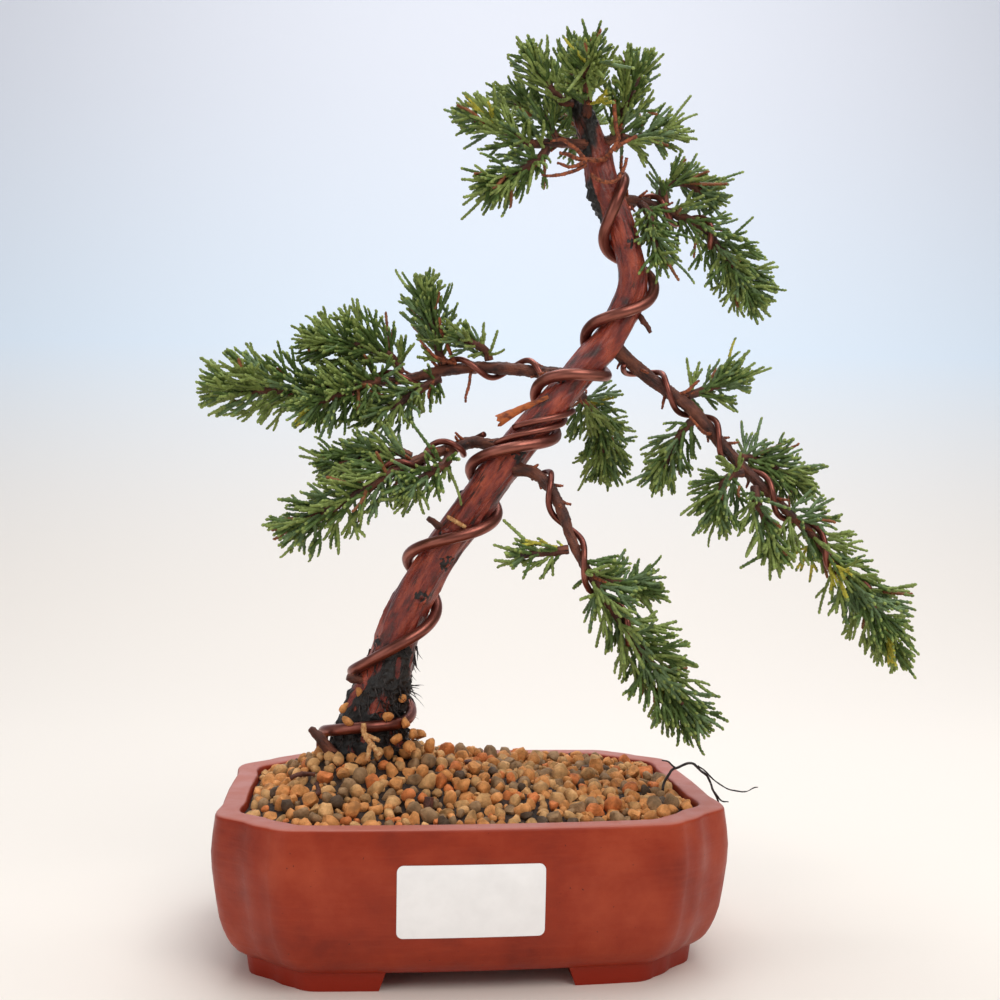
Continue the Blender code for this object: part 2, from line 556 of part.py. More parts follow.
def make_wires(axis, limbs, stems, parts):
    # returns every wire's axis, which the foliage keeps clear of
    last = len(TRUNK_WIRE_PASSES) - 1
    axis = axis.copy()
    axis[:, 3] *= 1.0 + FLARE_DEPTH * np.array([flare_fade(height) for height in axis[:, 2]])
    made = {"wire_trunk": wound(axis, trunk_winding(axis, 0.0, last, 0.0, 10), TRUNK_WIRE_RADIUS, (1, 0, 0))}
    for name, (first, end, lift) in THIN_WIRE_RUNS.items():
        made[name] = wound(axis, trunk_winding(axis, first, end, lift, 10), BOUGH_WIRE_RADIUS, (1, 0, 0))
    for name, (bough, mass, pitch, turn, start, end) in BOUGH_WIRES.items():
        path = np.vstack([limbs[bough], with_stem_radius(stems[mass])])
        count = round((end - start) / pitch * 9) + 1
        angles = [(d, math.tau * (turn + d / pitch)) for d in np.linspace(start, end, count)]
        made[name] = wound(path, angles, BOUGH_WIRE_RADIUS, (0, 0, 1))
    for name, path in made.items():
        tube(name, path, 2 if name == "wire_trunk" else 1, "wire", parts)
    return made


# ---------------------------------------------------------------- foliage
def spots_along(start, end, count=7):
    return start + (end - start) * np.linspace(0.0, 1.0, count)[:, None]


class Room:
    # the space a mass may fill: near its own stem, clear of limbs and wires, and off other masses
    def __init__(self, name, stems, solids):
        self.own = stems[name]
        self.others = np.vstack([path[:, :3] for other, path in stems.items() if other != name])
        self.solids = np.vstack([path for other, path in solids.items() if other != name])

    def fits(self, spots, radius):
        to_own = np.linalg.norm(spots[:, None] - self.own[None, :, :3], axis=2)
        nearest = to_own.argmin(axis=1)
        own = to_own.min(axis=1)
        if (own > self.own[nearest, 3]).any():
            return False
        other = np.linalg.norm(spots[:, None] - self.others[None], axis=2).min(axis=1)
        if (other - own < 2 * radius + 2 * GAP).any():
            return False
        to_solid = np.linalg.norm(spots[:, None] - self.solids[None, :, :3], axis=2) - self.solids[None, :, 3]
        return bool((to_solid > radius + 2 * GAP).all())


def grow(stem, lift, room, rng):
    # twigs wind round the stem by the golden angle; shoots leave each twig left and right in turn
    spots = lengths(stem)
    lines = tangents(stem)
    twigs, shoots = [], []
    count = int(spots[-1] / TWIG_STEP)
    turn = rng.uniform(0, math.tau)
    for i in range(1, count + 3):
        final = i > count
        distance = spots[-1] - 0.5 if final else i * TWIG_STEP
        root = np.array([np.interp(distance, spots, stem[:, k]) for k in range(3)])
        reach = float(np.interp(distance, spots, stem[:, 3]))
        line = unit(np.array([np.interp(distance, spots, lines[:, k]) for k in range(3)]))
        across, up = side_vectors(line, (0, 0, 1) if abs(line[2]) < 0.9 else (1, 0, 0))
        turn += GOLDEN_ANGLE
        lean = TWIG_LEAN * (rng.uniform(0.2, 0.5) if final else rng.uniform(0.85, 1.15))
        radial = across * math.cos(turn) + up * math.sin(turn)
        heading = unit(line * math.cos(lean) + radial * math.sin(lean) + np.array([0, 0, lift]))
        length = reach * TWIG_REACH * rng.uniform(0.85, 1.1)
        while length > 3.0 and not room.fits(spots_along(root + heading * 2.5, root + heading * length),
                                             TWIG_RADIUS[0]):
            length *= 0.8
        if length <= 3.0:
            continue
        tip = root + heading * length
        twigs.append((root, tip))
        side, flat = side_vectors(heading, radial + 0.3 * rng.uniform(-1, 1) * line)
        spread = rng.uniform(0, math.pi)
        for k, d in enumerate(np.arange(FIRST_SHOOT, LAST_SHOOT, SHOOT_STEP / length) * length):
            away = spread + math.pi * k + rng.uniform(-0.35, 0.35)
            lean = SHOOT_LEAN * rng.uniform(0.85, 1.2)
            out = side * math.cos(away) + flat * math.sin(away)
            aim = unit(heading * math.cos(lean) + out * math.sin(lean))
            start = root + heading * d - aim * SHOOT_SUNK
            size = SHOOT_LENGTH * (1.1 - 0.3 * d / length) * rng.uniform(0.85, 1.15)
            for share in (1.0, 0.8, 0.62):
                end = start + aim * size * share
                if room.fits(spots_along(start + aim * 2.0, end), SHOOT_WIDTH[1]):
                    shoots.append((start, end))
                    break
    return twigs, shoots


def place(bm, start, end):
    # a shape that lies along +Z from the origin is turned to run from start to end
    line = unit(end - start)
    across, back = side_vectors(line, (0, 0, 1) if abs(line[2]) < 0.9 else (1, 0, 0))
    for vert in bm.verts:
        x, y, z = vert.co
        vert.co = (start + across * x + back * y + line * z) * MM


def twig_solid(start, end):
    bm = bmesh.new()
    length = float(np.linalg.norm(end - start))
    bmesh.ops.create_cone(bm, cap_ends=True, segments=3, radius1=TWIG_RADIUS[0], radius2=TWIG_RADIUS[1],
                          depth=length)
    bmesh.ops.translate(bm, verts=bm.verts, vec=(0, 0, length / 2))
    place(bm, start, end)
    return bm


def shoot_solid(start, end):
    # a three-sided spindle, thickest nearer its root
    bm = bmesh.new()
    length = float(np.linalg.norm(end - start))
    bmesh.ops.create_uvsphere(bm, u_segments=3, v_segments=2, radius=1.0)
    for vert in bm.verts:
        middle = abs(vert.co.z) < 0.5
        height = SHOOT_WIDEST if middle else (vert.co.z + 1.0) / 2.0
        vert.co = (vert.co.x * SHOOT_WIDTH[0], vert.co.y * SHOOT_WIDTH[1], height * length)
    place(bm, start, end)
    return bm


def keep_largest(mesh):
    # a loose scrap or a sealed hollow is an island of its own, and goes
    bm = bmesh.new()
    bm.from_mesh(mesh)
    islands = []
    unseen = set(bm.faces)
    while unseen:
        stack = [unseen.pop()]
        island = set(stack)
        while stack:
            for edge in stack.pop().edges:
                for face in edge.link_faces:
                    if face in unseen:
                        unseen.discard(face)
                        island.add(face)
                        stack.append(face)
        islands.append(island)
    largest = max(islands, key=len)
    bmesh.ops.delete(bm, geom=[f for f in bm.faces if f not in largest], context="FACES")
    bm.to_mesh(mesh)
    bm.free()


def make_mass(name, stem, lift, room, parts, tools):
    rng = random.Random(name)
    stem = np.vstack([stem[:1], stem[1:-2:STEM_THINNING], stem[-1:]])
    twigs, shoots = grow(stem, lift, room, rng)
    host = meshed(tube(name, with_stem_radius(stem), 0, "foliage", parts), parts)
    pieces = [mesh_object("twig", twig_solid(*ends), tools, "foliage") for ends in twigs]
    pieces += [mesh_object("shoot", shoot_solid(*ends), tools, "foliage") for ends in shoots]
    boolean(host, "UNION", group=tools, solver="MANIFOLD")
    for piece in pieces:
        bpy.data.objects.remove(piece, do_unlink=True)
    keep_largest(host.data)
    host.data.shade_flat()
    return len(twigs), len(shoots), len(host.data.polygons)


# ---------------------------------------------------------------- small pieces
def make_flake(parts):
    # a curled strip of loose bark that stands off the trunk
    root = np.array(FLAKE["root"], float)
    tip = np.array(FLAKE["tip"], float)
    rings = []
    for t in np.linspace(0.0, 1.0, 5):
        centre = root + (tip - root) * t + np.array([0, -1.2, -1.0]) * math.sin(math.pi * t)
        half = FLAKE["width"] / 2 * (0.55 + 0.45 * t)
        thick = FLAKE["thickness"] / 2
        line = unit(tip - root)
        across, face = side_vectors(line, (0, 0, 1))
        rings.append([centre + across * a * half + face * b * thick
                      for a, b in ((-1, -1), (1, -1), (1, 1), (-1, 1))])
    bm = loft(rings)
    bmesh.ops.recalc_face_normals(bm, faces=bm.faces)
    mesh_object("bark_flake", bm, parts, "bark", smooth=False)


def stand_on_origin(parts):
    # the origin is the middle of the whole plant's underside
    bpy.context.view_layer.update()
    corners = []
    depsgraph = bpy.context.evaluated_depsgraph_get()
    for thing in parts.objects:
        mesh = thing.evaluated_get(depsgraph).to_mesh()
        points = np.empty(len(mesh.vertices) * 3, np.float32)
        mesh.vertices.foreach_get("co", points)
        corners.append(points.reshape(-1, 3))
    corners = np.vstack(corners)
    middle = (corners.min(axis=0) + corners.max(axis=0)) / 2
    for thing in parts.objects:
        thing.location = (-float(middle[0]), -float(middle[1]), 0.0)
    print("origin moved to", np.round(middle[:2] / MM, 2), "height", corners[:, 2].max() / MM)


def main():
    clear_scene()
    parts = bpy.data.collections.new("juniper_bonsai")
    tools = bpy.data.collections.new("cutters")
    for collection in (parts, tools):
        bpy.context.scene.collection.children.link(collection)
    make_pot(parts, tools)
    make_soil(parts)
    make_label(parts)
    axis = make_trunk(parts)
    carriers = {"trunk": axis}
    limbs = {}
    for name, spec in BOUGHS.items():
        tube(name, bough_path(spec, carriers, BOUGH_STEP), 1, "twig", parts)
        limbs[name] = bough_path(spec, carriers, 1.5)
    carriers.update(limbs)
    coarse = {"trunk": smooth_path(TRUNK, TRUNK_STEP)}
    coarse.update({name: bough_path(spec, carriers, BOUGH_STEP) for name, spec in BOUGHS.items()})
    stems = {}
    for name, spec in MASSES.items():
        ends = coarse if spec["at"] == "tip" else carriers
        stems[name] = stem_path(spec, ends, 1.5)
    wires = make_wires(axis, limbs, stems, parts)
    solids = {"trunk": axis, **limbs, **wires}
    solids.update({name: with_stem_radius(path) for name, path in stems.items()})
    totals = np.zeros(3, int)
    for name, spec in MASSES.items():
        counts = make_mass(name, stems[name], spec["lift"], Room(name, stems, solids), parts, tools)
        totals += counts
        print(name, "twigs, shoots, faces:", *counts)
    print("all masses:", *totals)
    tube("root_strand", smooth_path(ROOT_STRAND, 3.0), 0, "root", parts)
    tube("base_stub", smooth_path(BASE_STUB, 4.0), 1, "twig", parts)
    make_flake(parts)
    stand_on_origin(parts)


main()
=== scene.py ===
# A wired juniper bonsai in a red-brown pot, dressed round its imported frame.
# Stations and sizes are in millimetres from the middle of the pot's underside, with x to the
# right, y away from the viewer and z up; placed() brings them to the frame in metres.
import math
import random

import bmesh
import bpy
import numpy as np
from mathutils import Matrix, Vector, noise


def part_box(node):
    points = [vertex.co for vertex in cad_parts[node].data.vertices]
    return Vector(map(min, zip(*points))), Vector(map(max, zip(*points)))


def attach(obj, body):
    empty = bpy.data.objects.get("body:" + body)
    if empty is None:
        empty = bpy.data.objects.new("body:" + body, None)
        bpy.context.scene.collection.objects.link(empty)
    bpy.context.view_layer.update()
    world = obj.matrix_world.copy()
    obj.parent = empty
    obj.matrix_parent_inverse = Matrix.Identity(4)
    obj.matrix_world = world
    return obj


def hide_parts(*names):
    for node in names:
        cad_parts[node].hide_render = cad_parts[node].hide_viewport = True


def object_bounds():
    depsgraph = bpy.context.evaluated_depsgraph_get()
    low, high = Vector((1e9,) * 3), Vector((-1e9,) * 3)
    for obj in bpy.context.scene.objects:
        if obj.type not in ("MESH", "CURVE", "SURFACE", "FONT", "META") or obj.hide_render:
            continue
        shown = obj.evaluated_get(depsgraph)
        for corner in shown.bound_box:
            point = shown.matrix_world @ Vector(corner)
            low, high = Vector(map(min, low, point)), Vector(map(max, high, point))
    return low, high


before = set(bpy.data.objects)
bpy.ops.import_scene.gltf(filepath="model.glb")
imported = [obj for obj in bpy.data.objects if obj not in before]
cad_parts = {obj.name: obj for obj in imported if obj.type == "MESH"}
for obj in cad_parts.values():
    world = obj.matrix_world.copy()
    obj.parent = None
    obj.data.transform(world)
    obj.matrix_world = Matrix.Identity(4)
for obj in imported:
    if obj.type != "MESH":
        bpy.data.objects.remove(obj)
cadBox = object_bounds()
scene = bpy.context.scene
noise.seed_set(1)  # so that dry roots and twigs kink the same way on every run
mm = 0.001
gap = 0.3
potLow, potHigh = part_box("pot")
home = np.array([(potLow.x + potHigh.x) / 2, (potLow.y + potHigh.y) / 2, 0.0])


def placed(points):
    return np.asarray(points, float) * mm + home


def tint(red, green, blue):
    # a screen colour from 0 to 255 as the shader's own numbers
    return tuple((c / 255 / 12.92) if c <= 10 else ((c / 255 + 0.055) / 1.055) ** 2.4
                 for c in (red, green, blue)) + (1.0,)


# ---- paths and tubes

def smoothPath(stations, step):
    # a smooth curve through the stations, as rows a step apart
    rows = np.array(stations, float)
    chord = np.linalg.norm(np.diff(rows[:, :3], axis=0), axis=1)
    along = np.concatenate([[0.0], np.cumsum(chord)])
    slope = np.gradient(rows, along, axis=0)
    slope[0] = (rows[1] - rows[0]) / chord[0]
    slope[-1] = (rows[-1] - rows[-2]) / chord[-1]
    at = np.linspace(0.0, along[-1], max(3, round(along[-1] / step) + 1))
    k = np.clip(np.searchsorted(along, at, side="right") - 1, 0, len(along) - 2)
    h = (along[k + 1] - along[k])[:, None]
    t = (at - along[k])[:, None] / h
    return ((2 * t**3 - 3 * t**2 + 1) * rows[k] + (t**3 - 2 * t**2 + t) * h * slope[k]
            + (3 * t**2 - 2 * t**3) * rows[k + 1] + (t**3 - t**2) * h * slope[k + 1])


def unit(vector):
    return vector / np.linalg.norm(vector)


def tangents(path):
    lines = np.gradient(path[:, :3], axis=0)
    return lines / np.linalg.norm(lines, axis=1)[:, None]


def lengths(path):
    return np.concatenate([[0.0], np.cumsum(np.linalg.norm(np.diff(path[:, :3], axis=0), axis=1))])


def leave(carrier, index, towards, radius):
    # the point just clear of a carrier's bark from which a limb runs towards a station
    base = carrier[index]
    line = unit(np.array(towards, float) - base[:3])
    cosine = abs(float(line @ tangents(carrier)[index]))
    sine = math.sqrt(max(1.0 - cosine**2, 0.2))
    return base[:3] + line * (base[3] + gap + radius * cosine) / sine


def sideVectors(line, reference):
    across = unit(np.array(reference, float) - line * float(np.dot(reference, line)))
    return across, np.cross(line, across)


def freeVectors(line):
    return sideVectors(line, (0, 0, 1) if abs(line[2]) < 0.9 else (1, 0, 0))


def rowAt(where, scale, rows):
    # the row of numbers that belongs to a place between two marks of a scale
    return np.array([np.interp(where, scale, column) for column in rows.T])


def carriedFrames(path):
    # two directions square to the path that turn as little as they can
    lines = tangents(path)
    across = np.empty_like(lines)
    across[0] = sideVectors(lines[0], (1, 0, 0) if abs(lines[0][0]) < 0.9 else (0, 0, 1))[0]
    for i in range(1, len(path)):
        across[i] = unit(across[i - 1] - lines[i] * float(across[i - 1] @ lines[i]))
    return across, np.cross(lines, across)


def wrapTube(path, sides, relief=None, shadeOf=None):
    # a grid wrapped round the path and welded along its seam; relief(ring, direction, along) is in mm
    rings = len(path)
    across, back = carriedFrames(path)
    along = lengths(path)
    bm = bmesh.new()
    bmesh.ops.create_grid(bm, x_segments=rings - 1, y_segments=sides, size=0.5)
    grain = bm.verts.layers.float_vector.new("grain")
    shade = bm.verts.layers.float.new("shade")
    for vert in bm.verts:
        i = round((vert.co.x + 0.5) * (rings - 1))
        j = round((vert.co.y + 0.5) * sides) % sides
        turn = j / sides * math.tau
        direction = across[i] * math.cos(turn) + back[i] * math.sin(turn)
        radius = path[i, 3]
        spot = (math.cos(turn) * radius, math.sin(turn) * radius, along[i])
        if relief:
            radius += relief(i, direction, spot)
        vert[grain] = spot
        if shadeOf:
            vert[shade] = shadeOf(i, direction, spot)
        vert.co = placed(path[i, :3] + direction * radius)
    bmesh.ops.remove_doubles(bm, verts=bm.verts, dist=1e-7)
    bmesh.ops.holes_fill(bm, edges=[edge for edge in bm.edges if edge.is_boundary])
    bmesh.ops.recalc_face_normals(bm, faces=bm.faces)
    return bm


def wobble(spot, across, along, seed=0.0):
    # noise drawn out along a limb: feature sizes in mm across and along the grain
    return noise.noise(Vector((spot[0] / across + seed, spot[1] / across, spot[2] / along)))


# ---- pieces

def link(name, data):
    made = bpy.data.objects.new(name, data)
    scene.collection.objects.link(made)
    return made


def meshFromArrays(name, verts, triangles):
    mesh = bpy.data.meshes.new(name)
    mesh.vertices.add(len(verts))
    mesh.vertices.foreach_set("co", np.asarray(placed(verts), np.float32).ravel())
    mesh.loops.add(len(triangles) * 3)
    mesh.loops.foreach_set("vertex_index", np.asarray(triangles, np.int32).ravel())
    mesh.polygons.add(len(triangles))
    mesh.polygons.foreach_set("loop_start", np.arange(0, len(triangles) * 3, 3, dtype=np.int32))
    mesh.update(calc_edges=True)
    return mesh


def meshFromParts(name, parts):
    mesh = bpy.data.meshes.new(name)
    whole = parts[0]
    for part in parts[1:]:
        extra = bpy.data.meshes.new("part")
        part.to_mesh(extra)
        part.free()
        whole.from_mesh(extra)
        bpy.data.meshes.remove(extra)
    whole.to_mesh(mesh)
    whole.free()
    return mesh


def finishPiece(name, source, material, replaced=(), sharp=None):
    # source is a list of bmeshes, or a pair of arrays in mm: the vertices and the triangles
    mesh = meshFromParts(name, source) if isinstance(source, list) else meshFromArrays(name, *source)
    mesh.materials.append(material)
    mesh.shade_smooth()
    if sharp:
        mesh.set_sharp_from_angle(angle=math.radians(sharp))
    piece = link(name, mesh)
    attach(piece, "root")
    if replaced:
        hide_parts(*replaced)


# ---- materials

def startMaterial(name, colour, roughness, **sockets):
    material = bpy.data.materials.new(name)
    material.use_nodes = True
    tree = material.node_tree
    shader = feed(tree, tree.nodes["Principled BSDF"], Base_Color=colour, Roughness=roughness, **sockets)
    return material, tree, shader


def feed(tree, node, **inputs):
    # links a socket to each named input, or sets it to a constant value
    for name, value in inputs.items():
        socket = node.inputs[int(name[1:]) if name[0] == "_" else name.replace("_", " ")]
        if isinstance(value, bpy.types.NodeSocket):
            tree.links.new(value, socket)
        else:
            socket.default_value = value
    return node


def addNode(tree, kind, settings=None, **inputs):
    node = tree.nodes.new(kind)
    for name, value in (settings or {}).items():
        setattr(node, name, value)
    return feed(tree, node, **inputs)


def noiseOn(tree, coordinates, scale, detail=4.0, roughness=0.55):
    return addNode(tree, "ShaderNodeTexNoise", Vector=coordinates, Scale=scale, Detail=detail,
                   Roughness=roughness).outputs["Fac"]


def grainOn(tree, coordinates, scale, detail=4.0, roughness=0.55):
    # noise whose features are drawn out: a scale for each axis
    spread = addNode(tree, "ShaderNodeMapping", Vector=coordinates, Scale=scale).outputs["Vector"]
    return noiseOn(tree, spread, 1.0, detail, roughness)


def rampOn(tree, factor, stops):
    node = addNode(tree, "ShaderNodeValToRGB", Fac=factor)
    elements = node.color_ramp.elements
    elements[0].position, elements[0].color = stops[0]
    elements[1].position, elements[1].color = stops[-1]
    for position, colour in stops[1:-1]:
        elements.new(position).color = colour
    return node.outputs["Color"]


def rangeOn(tree, value, low, high, toLow=0.0, toHigh=1.0):
    return addNode(tree, "ShaderNodeMapRange", {"interpolation_type": "SMOOTHSTEP"}, Value=value, From_Min=low,
                   From_Max=high, To_Min=toLow, To_Max=toHigh).outputs["Result"]


def blendOn(tree, factor, first, second):
    # sockets 0, 6 and 7 are the colour mix's own factor and colours
    return addNode(tree, "ShaderNodeMix", {"data_type": "RGBA"}, _0=factor, _6=first, _7=second).outputs[2]


def mathOn(tree, kind, first, second):
    return addNode(tree, "ShaderNodeMath", {"operation": kind}, _0=first, _1=second).outputs[0]


def addOn(tree, first, second):
    return mathOn(tree, "ADD", first, second)


def timesOn(tree, first, second):
    return mathOn(tree, "MULTIPLY", first, second)


def bumpOn(tree, shader, height, strength, distance):
    node = addNode(tree, "ShaderNodeBump", Strength=strength, Distance=distance, Height=height)
    feed(tree, shader, Normal=node.outputs["Normal"])


def roughened(tree, shader, pattern, stops, strength, distance):
    # one pattern gives both the colours and the relief
    feed(tree, shader, Base_Color=rampOn(tree, pattern, stops))
    bumpOn(tree, shader, pattern, strength, distance)


def objectSpace(tree):
    return addNode(tree, "ShaderNodeTexCoord").outputs["Object"]


def attributeOn(tree, name, output):
    return addNode(tree, "ShaderNodeAttribute", {"attribute_name": name}).outputs[output]


def heightOf(tree, vector):
    return addNode(tree, "ShaderNodeSeparateXYZ", Vector=vector).outputs["Z"]


def shaded(colour, share, lift=0.0):
    # the same colour made darker or paler
    return tuple(min(c * share + lift, 1.0) for c in colour[:3]) + (1.0,)


# ---- camera, floor and light

studio = {
    "eye": (-39.9, -511.6, 161.0),
    "look": (0.1028, 0.9946, 0.016),
    "roll": 0.4,
    "lens": 46.8,
    "floor": tint(239, 231, 222), "haze": tint(226, 238, 250), "sky": tint(238, 241, 250),
    # the paper sweep, in metres: where it starts, its flat run, the bend's radius, its whole run and half width
    "front": -1.6, "flat": 2.2, "bend": 1.8, "run": 7.0, "halfWidth": 3.2, "skyHeight": 1.3,
    # name, place, what it faces, width, power and colour
    "lights": [("keyLight", (0.45, -0.95, 1.15), (0.0, 0.0, 0.15), 0.9, 9.3, (1.0, 0.97, 0.93)),
               ("fillLight", (-0.95, -0.7, 0.55), (0.0, 0.0, 0.15), 1.0, 3.0, (1.0, 0.98, 0.96)),
               ("topLight", (0.0, 0.15, 1.3), (0.0, 0.0, 0.1), 1.1, 5.6, (0.96, 0.98, 1.0)),
               ("backLight", (0.3, 0.8, 2.0), (0.35, 1.6, 0.3), 1.8, 25.0, (0.97, 0.98, 1.0))],
    "room": 0.3, "roomTint": (0.93, 0.96, 1.0, 1.0),
}


def facing(direction):
    return Vector(direction).to_track_quat("-Z", "Y")


def makeCamera():
    data = bpy.data.cameras.new("camera")
    data.lens = studio["lens"]
    data.sensor_width = 36.0
    data.clip_start = 0.01
    camera = link("camera", data)
    camera.rotation_euler = facing(studio["look"]).to_matrix().to_4x4().to_euler()
    camera.rotation_euler.rotate_axis("Z", math.radians(studio["roll"]))
    camera.location = placed(studio["eye"])
    scene.camera = camera


def makeFloor():
    bm = bmesh.new()
    bmesh.ops.create_grid(bm, x_segments=2, y_segments=96, size=1.0)
    bend, flat = studio["bend"], studio["flat"]
    for vert in bm.verts:
        # the floor runs back, bends up and goes on as the backdrop
        reach = (vert.co.y + 1.0) / 2 * studio["run"]
        turn = min(max((reach - flat) / bend, 0.0), math.pi / 2)
        past = max(reach - flat - bend * math.pi / 2, 0.0)
        vert.co = (vert.co.x * studio["halfWidth"], studio["front"] + min(reach, flat) + bend * math.sin(turn),
                   bend * (1 - math.cos(turn)) + past)
    mesh = bpy.data.meshes.new("floor")
    bm.to_mesh(mesh)
    bm.free()
    mesh.shade_smooth()
    material, tree, shader = startMaterial("paperSweep", studio["floor"], 0.9)
    height = rangeOn(tree, heightOf(tree, objectSpace(tree)), 0.0, studio["skyHeight"])
    feed(tree, shader, Base_Color=rampOn(
        tree, height, [(0.0, studio["floor"]), (0.3, studio["haze"]), (1.0, studio["sky"])]))
    mesh.materials.append(material)
    link("floor", mesh)


def makeLights():
    for name, place, aim, size, power, colour in studio["lights"]:
        data = bpy.data.lights.new(name, "AREA")
        data.energy = power
        data.size = size
        data.color = colour
        light = link(name, data)
        light.location = place
        light.rotation_euler = facing(Vector(aim) - Vector(place)).to_euler()
    world = bpy.data.worlds.new("room")
    world.use_nodes = True
    feed(world.node_tree, world.node_tree.nodes["Background"], Color=studio["roomTint"], Strength=studio["room"])
    scene.world = world
    scene.view_settings.view_transform = "Standard"


makeCamera()
makeFloor()
makeLights()
print("studio: camera, floor and lights")

# ---- pot

pot = {
    "rimHeight": 57.5, "rimWidth": 8.5, "rimEdge": 1.2, "floorTop": 14.0, "innerTaper": 0.07,
    "frontDepth": 75.5, "frontBow": 2.5, "frontFlat": 62.0, "lobeRadius": 12.0, "sideReach": 91.5,
    "corner": (89.3, 50.5), "groove": [(77.0, 63.6), (81.0, 58.0), (85.0, 54.4)],
    # the wall's profile: height, and how far it stands in from the outline
    "wall": [(6.5, 10.5), (9.0, 7.2), (17.0, 2.8), (30.0, 0.2), (44.0, -1.2), (56.3, 0.0)],
    "underside": (12.0, 10.9), "rimFlat": (2.4, 4.3, 6.0), "innerRings": (54.0, 50.0, 40.0),
    "wallRings": (6.7, 7.4, 8.2, 9.2, 11, 13.5, 17, 21, 26, 32, 38, 44, 50, 54.5, 55.8),
    "outerEdge": (12, 35, 60, 85), "innerEdge": (5, 30, 60, 85),  # turns round the rim's two edges, in degrees
    "lobeTurns": (80, 70, 60, 50, 42, 34),
    "footInset": 10.5, "footShare": 0.74, "footGapFront": 34.0, "footGapSide": 27.0, "footSlant": 3.0,
    "footHeight": 8.5, "footRound": 0.8, "footDraft": (0.985, 0.97),
    "clay": tint(147, 45, 16), "clayDark": tint(124, 33, 10), "clayPale": tint(166, 64, 34),
    "rim": tint(188, 112, 96), "foot": tint(148, 34, 6), "speck": tint(62, 22, 16),
}


def frontBow(x):
    return pot["frontDepth"] - pot["frontBow"] * (x / pot["frontFlat"]) ** 2


def softLine(points, count):
    # a smooth line through flat points
    rows = smoothPath([(x, y, 0.0) for x, y in points], 0.1)
    pick = np.linspace(0, len(rows) - 1, count).round().astype(int)
    return [tuple(row[:2]) for row in rows[pick]]


def potOutline():
    flat, radius = pot["frontFlat"], pot["lobeRadius"]
    front = [(x, frontBow(x)) for x in np.linspace(0.0, flat, 15)]
    middle = frontBow(flat) - radius
    lobe = [(flat + radius * math.cos(math.radians(d)), middle + radius * math.sin(math.radians(d)))
            for d in pot["lobeTurns"]]
    into = softLine([lobe[-1], pot["groove"][0], pot["groove"][1]], 5)[1:]
    out = softLine([pot["groove"][1], pot["groove"][2], pot["corner"],
                    (pot["sideReach"] - 0.6, 26.0), (pot["sideReach"], 0.0)], 20)[1:]
    quarter = front + lobe + into + out
    frontRight = [(x, -y) for x, y in quarter]
    backRight = [(x, y) for x, y in reversed(quarter[:-1])]
    right = frontRight + backRight
    left = [(-x, y) for x, y in reversed(right[1:-1])]
    return np.array(right + left)


def inset(outline, distance):
    return outline * [1.0 - distance / pot["sideReach"], 1.0 - distance / pot["frontDepth"]]


def wallInset(height):
    lowest, depth = pot["wall"][0]
    depths = smoothPath([(h, d, 0.0) for h, d in pot["wall"]], 0.25)
    return float(np.interp(height, depths[:, 0], depths[:, 1])) if height > lowest else depth


def only(kind, geometry):
    return [item for item in geometry if isinstance(item, kind)]


def everything(bm):
    return bm.verts[:] + bm.edges[:] + bm.faces[:]


def loftRings(rings):
    # each ring is extruded from the one below, and both ends are closed by a face
    bm = bmesh.new()
    first = [bm.verts.new(point) for point in placed(rings[0])]
    edges = [bm.edges.new((a, b)) for a, b in zip(first, first[1:] + first[:1])]
    bm.faces.new(list(reversed(first)))
    for ring in rings[1:]:
        grown = bmesh.ops.extrude_edge_only(bm, edges=edges)["geom"]
        verts, edges = only(bmesh.types.BMVert, grown), only(bmesh.types.BMEdge, grown)
        for vert, point in zip(verts, placed(ring)):
            vert.co = point
    bmesh.ops.contextual_create(bm, geom=edges)
    bmesh.ops.recalc_face_normals(bm, faces=bm.faces)
    return bm


def atHeight(outline, height):
    return np.column_stack([outline, np.full(len(outline), height)])


def narrowing(height):
    # how the inner wall draws in from under the rim to the floor
    under = pot["rimHeight"] - pot["rimEdge"]
    return 1.0 - pot["innerTaper"] * (under - height) / (under - pot["floorTop"])


def potBody():
    # rows of inset and height: underside, wall, the rim's outer edge, its flat and its inner edge
    edge, top, wide = pot["rimEdge"], pot["rimHeight"], pot["rimWidth"]
    rows = [(d, pot["wall"][0][0]) for d in pot["underside"]]
    rows += [(wallInset(h), h) for h in pot["wallRings"]]
    rows += [(edge * (1 - math.cos(turn)), top - edge + edge * math.sin(turn))
             for turn in np.radians(pot["outerEdge"])]
    rows += [(d, top) for d in pot["rimFlat"]]
    rows += [(wide - edge * (1 - math.sin(turn)), top - edge * (1 - math.cos(turn)))
             for turn in np.radians(pot["innerEdge"])]
    outline = potOutline()
    rings = [atHeight(inset(outline, d), h) for d, h in rows]
    rings += [atHeight(inset(outline, wide) * narrowing(h), h) for h in (*pot["innerRings"], pot["floorTop"])]
    return loftRings(rings)


